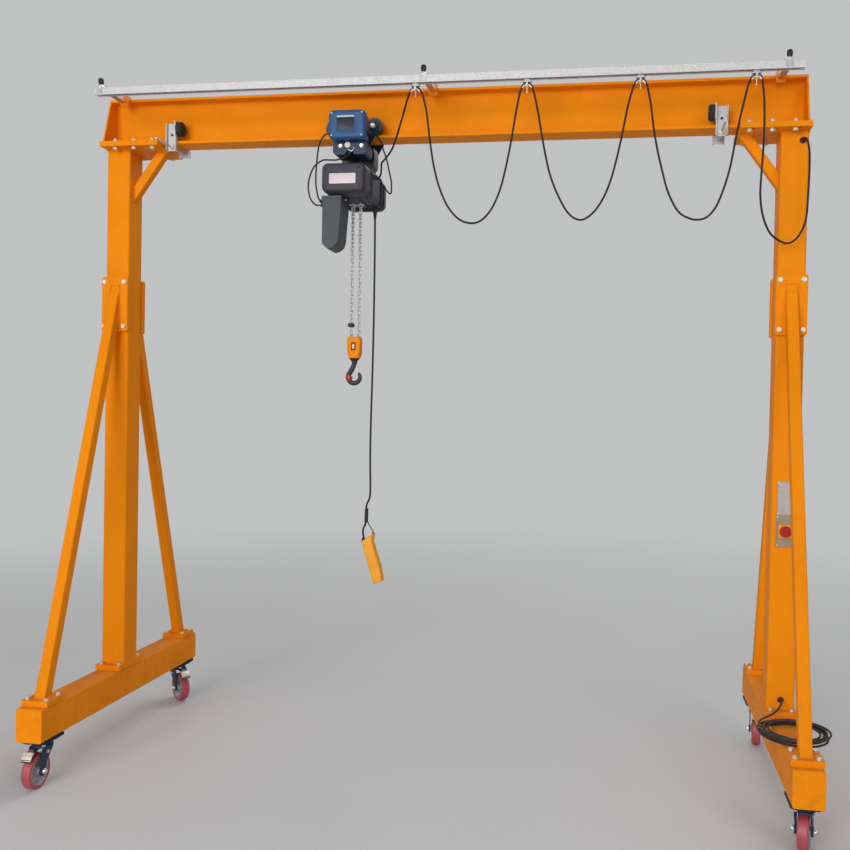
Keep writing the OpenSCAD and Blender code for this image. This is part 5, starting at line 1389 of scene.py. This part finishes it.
class CRANE_OT_hoist(Piece, bpy.types.Operator):
    """Pressed cover of the hoist with its bare panel, screws, the chain's guides and the bucket's screws"""

    bl_idname = "crane.hoist"
    bl_label = "Hoist"

    def build(self, sizes):
        depth = COVER_BACK - COVER_FRONT
        cover = housing(
            (0.1055, 0.0705, 0.028, 0.0002),
            (0.106, 0.071, 0.028, 0.001),
            (0.106, 0.071, 0.028, 0.0105),
            (0.1052, 0.0702, 0.028, 0.0115),
            (0.1015, 0.0665, 0.026, 0.0118),
            (0.1015, 0.0665, 0.026, 0.0145),
            (0.103, 0.068, 0.028, 0.015),
            (0.103, 0.068, 0.028, depth - 0.028),
            (0.1026, 0.0676, 0.028, depth - 0.021),
            (0.1014, 0.0664, 0.027, depth - 0.0145, -0.0004, 0.0002),
            (0.0994, 0.0642, 0.026, depth - 0.0085, -0.0008, 0.0005),
            (0.0966, 0.0612, 0.024, depth - 0.0035, -0.0012, 0.0008),
            (0.0938, 0.0584, 0.022, depth - 0.001, -0.0015, 0.001),
            (0.09, 0.0546, 0.02, depth, -0.0015, 0.001),
            (0.05, 0.028, 0.012, depth + 0.0004, -0.003, 0.002),
        )
        at = (COVER_X, COVER_BACK, HOIST_Z)
        piece(
            "cover_shell", facing(cover, at), "charcoal_paint", "trolley", ["hoist_cover"]
        )
        bare = slab(box_outline(0.062, 0.023, 0.003), 0.001, 0.0003)
        label_at = (COVER_X - 0.002, COVER_FRONT - 0.0003, HOIST_Z - 0.006)
        piece("cover_label", facing(bare, label_at), "label_bare", "trolley")
        x, y, z = COVER_X - 0.003, COVER_FRONT + 0.0009, HOIST_Z + 0.002
        corners = [(x + i * 0.078, y, z + j * 0.042) for i, j in SIDES]
        piece("cover_screws", everywhere(socket_screw(0.0055), corners, -Y, X), "black_steel", "trolley")
        back = [(COVER_X + i * 0.078, MOTOR_BACK - 0.001, HOIST_Z + j * 0.048) for i, j in SIDES]
        piece("motor_screws", everywhere(socket_screw(0.006), back, Y, X), "bolt_zinc", "trolley")
        rings = lathe(
            mm((11.2, -6), (15, -7), (16.8, -5), (16.8, 0.4), (11.2, 0.4)), 36, True
        )
        places = [(TROLLEY_X + i * CHAIN_GAP / 2, 0, HOIST_LOW) for i in (-1, 1)]
        piece("chain_guides", everywhere(rings, places), "bright_steel", "trolley")
        bucket_x = TROLLEY_X - 0.068
        screws = [
            moved(bolt(0.006), (bucket_x + dx, -0.11, HOIST_LOW - 0.006), way)
            for dx, way in ((-0.0475, -X), (0.0465, X))
        ]
        piece("bucket_screws", joined(*screws), "bolt_zinc", "trolley")


class CRANE_OT_pendant(Piece, bpy.types.Operator):
    """Push-button handset with rounded rims and its buttons"""

    bl_idname = "crane.pendant"
    bl_label = "Pendant"

    def build(self, sizes):
        at = np.array([TROLLEY_X + 0.089, 0.075, GIRDER_TOP - 2.225])
        outline = mm(
            (-54, 92), (-22, -16), (6, -107), (12, -110), (48, -97), (50, -90), (38, -28), (-2, 92),
            (2, 126), (0, 132), (-6, 130), (-50, 98),
        )
        body = moved(slab(outline, 0.05, 0.007, 6), at + [0, 0.025, 0], -Y, X)
        collar = lathe(mm((9, 88), (9, 98), (8, 106), (6.6, 109.5)), 28)
        piece("pendant_housing", body, "yellow_plastic", "trolley", ["pendant"])
        eye = lathe(mm((2.8, -3.2), (5.2, -3.2), (5.2, 3.2), (2.8, 3.2)), 24, True)
        glands = joined(moved(collar, at + [-0.051, 0, 0]), moved(eye, at + [-0.003, 0, 0.134], Y))
        piece("pendant_glands", glands, "black_rubber", "trolley")
        down = np.array([0.0096, 0, -0.031])
        first = at + [-0.015, 0.0245, 0.05]
        guard = lathe(mm((11.8, 0), (12.5, 0.8), (12.5, 3), (11.8, 3.5), (9, 3.5), (9, 0.5)), 32)
        keys = [first + k * down for k in range(1, 5)]
        piece("pendant_guards", everywhere(guard, keys, Y), "yellow_plastic", "trolley")
        cap = lathe(mm((8.8, 0), (8.8, 4), (8, 4.8), (5, 5.2)), 28)
        piece("pendant_keys", everywhere(cap, keys, Y), "black_rubber", "trolley")
        mushroom = lathe(mm((9, 0), (9, 1.2), (14.5, 1.6), (15, 2.6), (13.8, 4), (8, 5)), 32)
        piece("pendant_stop", moved(mushroom, first, Y), "red_plastic", "trolley")


class CRANE_OT_column_fittings(Piece, bpy.types.Operator):
    """Rivets of the rating plate, base of the isolator and nuts of the glands"""

    bl_idname = "crane.column_fittings"
    bl_label = "Column Fittings"

    def build(self, sizes):
        front = low("nameplate")[1]
        rivet = lathe(mm((3, 0), (2.8, 0.8), (1.8, 1.4), (0.6, 1.6)), 16)
        places = [(PLATE[0] + i * 0.0275, front, PLATE[2] + j * 0.069) for i, j in SIDES]
        switch_front = -COLUMN_HALF - 0.004
        places += [(KNOB[0] + i * 0.032, switch_front, KNOB[2] + j * 0.062) for i, j in SIDES]
        piece("plate_rivets", everywhere(rivet, places, -Y, X), "bright_steel", "frame")
        border = box_outline(0.03, 0.0715, 0.002)
        rim = sweep(
            np.column_stack([border[:, 0], 0 * border[:, 0], border[:, 1]]) + [PLATE[0], front, PLATE[2]],
            round_outline(0.0005, 6), Y, wrap=True,
        )
        piece("plate_border", rim, "dark_steel", "frame")
        base = slab(box_outline(0.0302, 0.0302, 0.005), 0.0063, 0.0012)
        base = facing(base, (KNOB[0], switch_front, KNOB[2]))
        piece("isolator_base", base, "yellow_plastic", "frame")
        for name, x, z, bore in (("upper", GLAND_X, GLAND_Z, 10), ("lower", COLUMN_X, OUTLET_Z, 9)):
            mouth = bore / 2 + 0.2
            cap = lathe(mm((9.6, 0), (9.4, 4), (8, 6.8), (mouth + 1, 7.9), (mouth, 7.9)), 32)
            turned = joined(hex_head(0.0165, 0.36), moved(cap, (0, 0, 0.0059)))
            turned = moved(turned, (x, -COLUMN_HALF - 0.0001, z), -Y)
            piece(f"gland_nut_{name}", turned, "gland_plastic", "frame")


class CRANE_OT_finishes(Piece, bpy.types.Operator):
    """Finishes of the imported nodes"""

    bl_idname = "crane.finishes"
    bl_label = "Finishes"

    def build(self, sizes):
        group = smooth_curves_group()
        for look, nodes in NODE_FINISH.items():
            for name in nodes:
                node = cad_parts[name]
                if not node.material_slots:
                    node.data.materials.append(finish(look))
                for slot in node.material_slots:
                    slot.material = finish(look)
                if not node.hide_render:
                    modifier = node.modifiers.new("smooth_curves", "NODES")
                    modifier.node_group = group


class CRANE_OT_stage(Piece, bpy.types.Operator):
    """Pale floor that melts into pale surroundings, and soft lamps"""

    bl_idname = "crane.stage"
    bl_label = "Stage"

    def floor_finish(self):
        """Pale floor, which is the surroundings' own colour for the camera and for reflections far out."""
        f = Finish("studio_floor")
        soft = f.noise(1.3, 3.0)
        pale = f.mix(soft, (0.62, 0.625, 0.63), (0.66, 0.665, 0.67))
        f.done(Base_Color=pale, Roughness=0.55 + 0.1 * soft, Specular_IOR_Level=0.2)
        apart = f.node("ShaderNodeVectorMath", {"operation": "LENGTH"}, output="Value", Vector=f.place)
        far = f.step(apart, 1.6, 9.0)
        glow = f.node("ShaderNodeEmission", Color=BACKGROUND, Strength=1.0)
        blend = f.tree.nodes.new("ShaderNodeMixShader")
        f.feed(blend.inputs[0], far * self.seen(f))
        f.tree.links.new(f.shader.outputs[0], blend.inputs[1])
        f.tree.links.new(glow.source, blend.inputs[2])
        f.tree.links.new(blend.outputs[0], f.tree.nodes["Material Output"].inputs["Surface"])

    def seen(self, f):
        """1 for rays from the camera and for those that gloss or glass sends on."""
        kinds = ("Camera", "Glossy", "Transmission")
        camera, glossy, through = [f.node("ShaderNodeLightPath", output=f"Is {kind} Ray") for kind in kinds]
        return through.math("MAXIMUM", through, camera + glossy)

    def build(self, sizes):
        scene = bpy.context.scene
        self.floor_finish()
        rings = np.stack([np.append(round_outline(r, 64), np.zeros((64, 1)), 1) for r in (60.0, 8.0, 0.01)])
        points, faces = skin(rings - [0, 0, 0.0002])
        floor = piece("studio_floor", (points, faces[:128] + faces[-1:]), "studio_floor")
        world = bpy.data.worlds.new("studio")
        world.use_nodes = True
        light = Finish.over(world.node_tree)
        sky = world.node_tree.nodes["Background"]
        sky.inputs["Color"].default_value = (*BACKGROUND, 1.0)
        light.feed(sky.inputs["Strength"], self.seen(light) * 0.42 + 0.58)
        scene.world = world
        for name, at, size, watts in (
            ("key", (-2.2, -8.8, 3.2), 5.0, 500.0),
            ("fill", (5.2, -6.4, 4.4), 3.0, 90.0),
            ("rear", (1.0, 5.0, 7.0), 4.0, 170.0),
        ):
            lamp = bpy.data.lights.new(name, "AREA")
            lamp.size, lamp.energy = size, watts
            made = bpy.data.objects.new(name, lamp)
            scene.collection.objects.link(made)
            back = unit(np.array(at) - [0, 0, 1.5])
            side = unit(np.cross(Z, back))
            turn = np.eye(4)
            turn[:3] = np.stack([side, np.cross(back, side), back, at], -1)
            made.matrix_world = Matrix(turn.tolist())
        scene.view_settings.view_transform = "Standard"


PIECES = [
    CRANE_OT_camera, CRANE_OT_supply_cord, CRANE_OT_festoon, CRANE_OT_trolley_cables,
    CRANE_OT_pendant, CRANE_OT_pendant_cord, CRANE_OT_chain, CRANE_OT_hook, CRANE_OT_casters, CRANE_OT_bolts,
    CRANE_OT_welds, CRANE_OT_girder_fittings, CRANE_OT_carriers, CRANE_OT_drive, CRANE_OT_hoist,
    CRANE_OT_column_fittings, CRANE_OT_finishes, CRANE_OT_stage,
]


class CRANE_PT_panel(bpy.types.Panel):
    """Lists the sizes, the colours and the pieces"""

    bl_idname = "CRANE_PT_panel"
    bl_label = "Gantry Crane"
    bl_space_type = "VIEW_3D"
    bl_region_type = "UI"
    bl_category = "Gantry Crane"

    def draw(self, context):
        for group in (context.scene.crane_sizes, context.scene.crane_colours):
            for key in group.bl_rna.properties.keys():
                if key not in ("rna_type", "name"):
                    self.layout.prop(group, key)
        for operator in PIECES:
            self.layout.operator(operator.bl_idname)


CLASSES = [CraneSizes, CraneColours, *PIECES, CRANE_PT_panel]


def register():
    """Registers the classes and the scene's settings."""
    for cls in CLASSES:
        bpy.utils.register_class(cls)
    bpy.types.Scene.crane_sizes = PointerProperty(type=CraneSizes)
    bpy.types.Scene.crane_colours = PointerProperty(type=CraneColours)


def unregister():
    """Takes them away again."""
    del bpy.types.Scene.crane_colours
    del bpy.types.Scene.crane_sizes
    for cls in reversed(CLASSES):
        bpy.utils.unregister_class(cls)


def main():
    """Builds everything in order."""
    register()
    for operator in PIECES:
        getattr(bpy.ops.crane, operator.bl_idname.split(".")[1])()


if __name__ == "__main__":
    main()
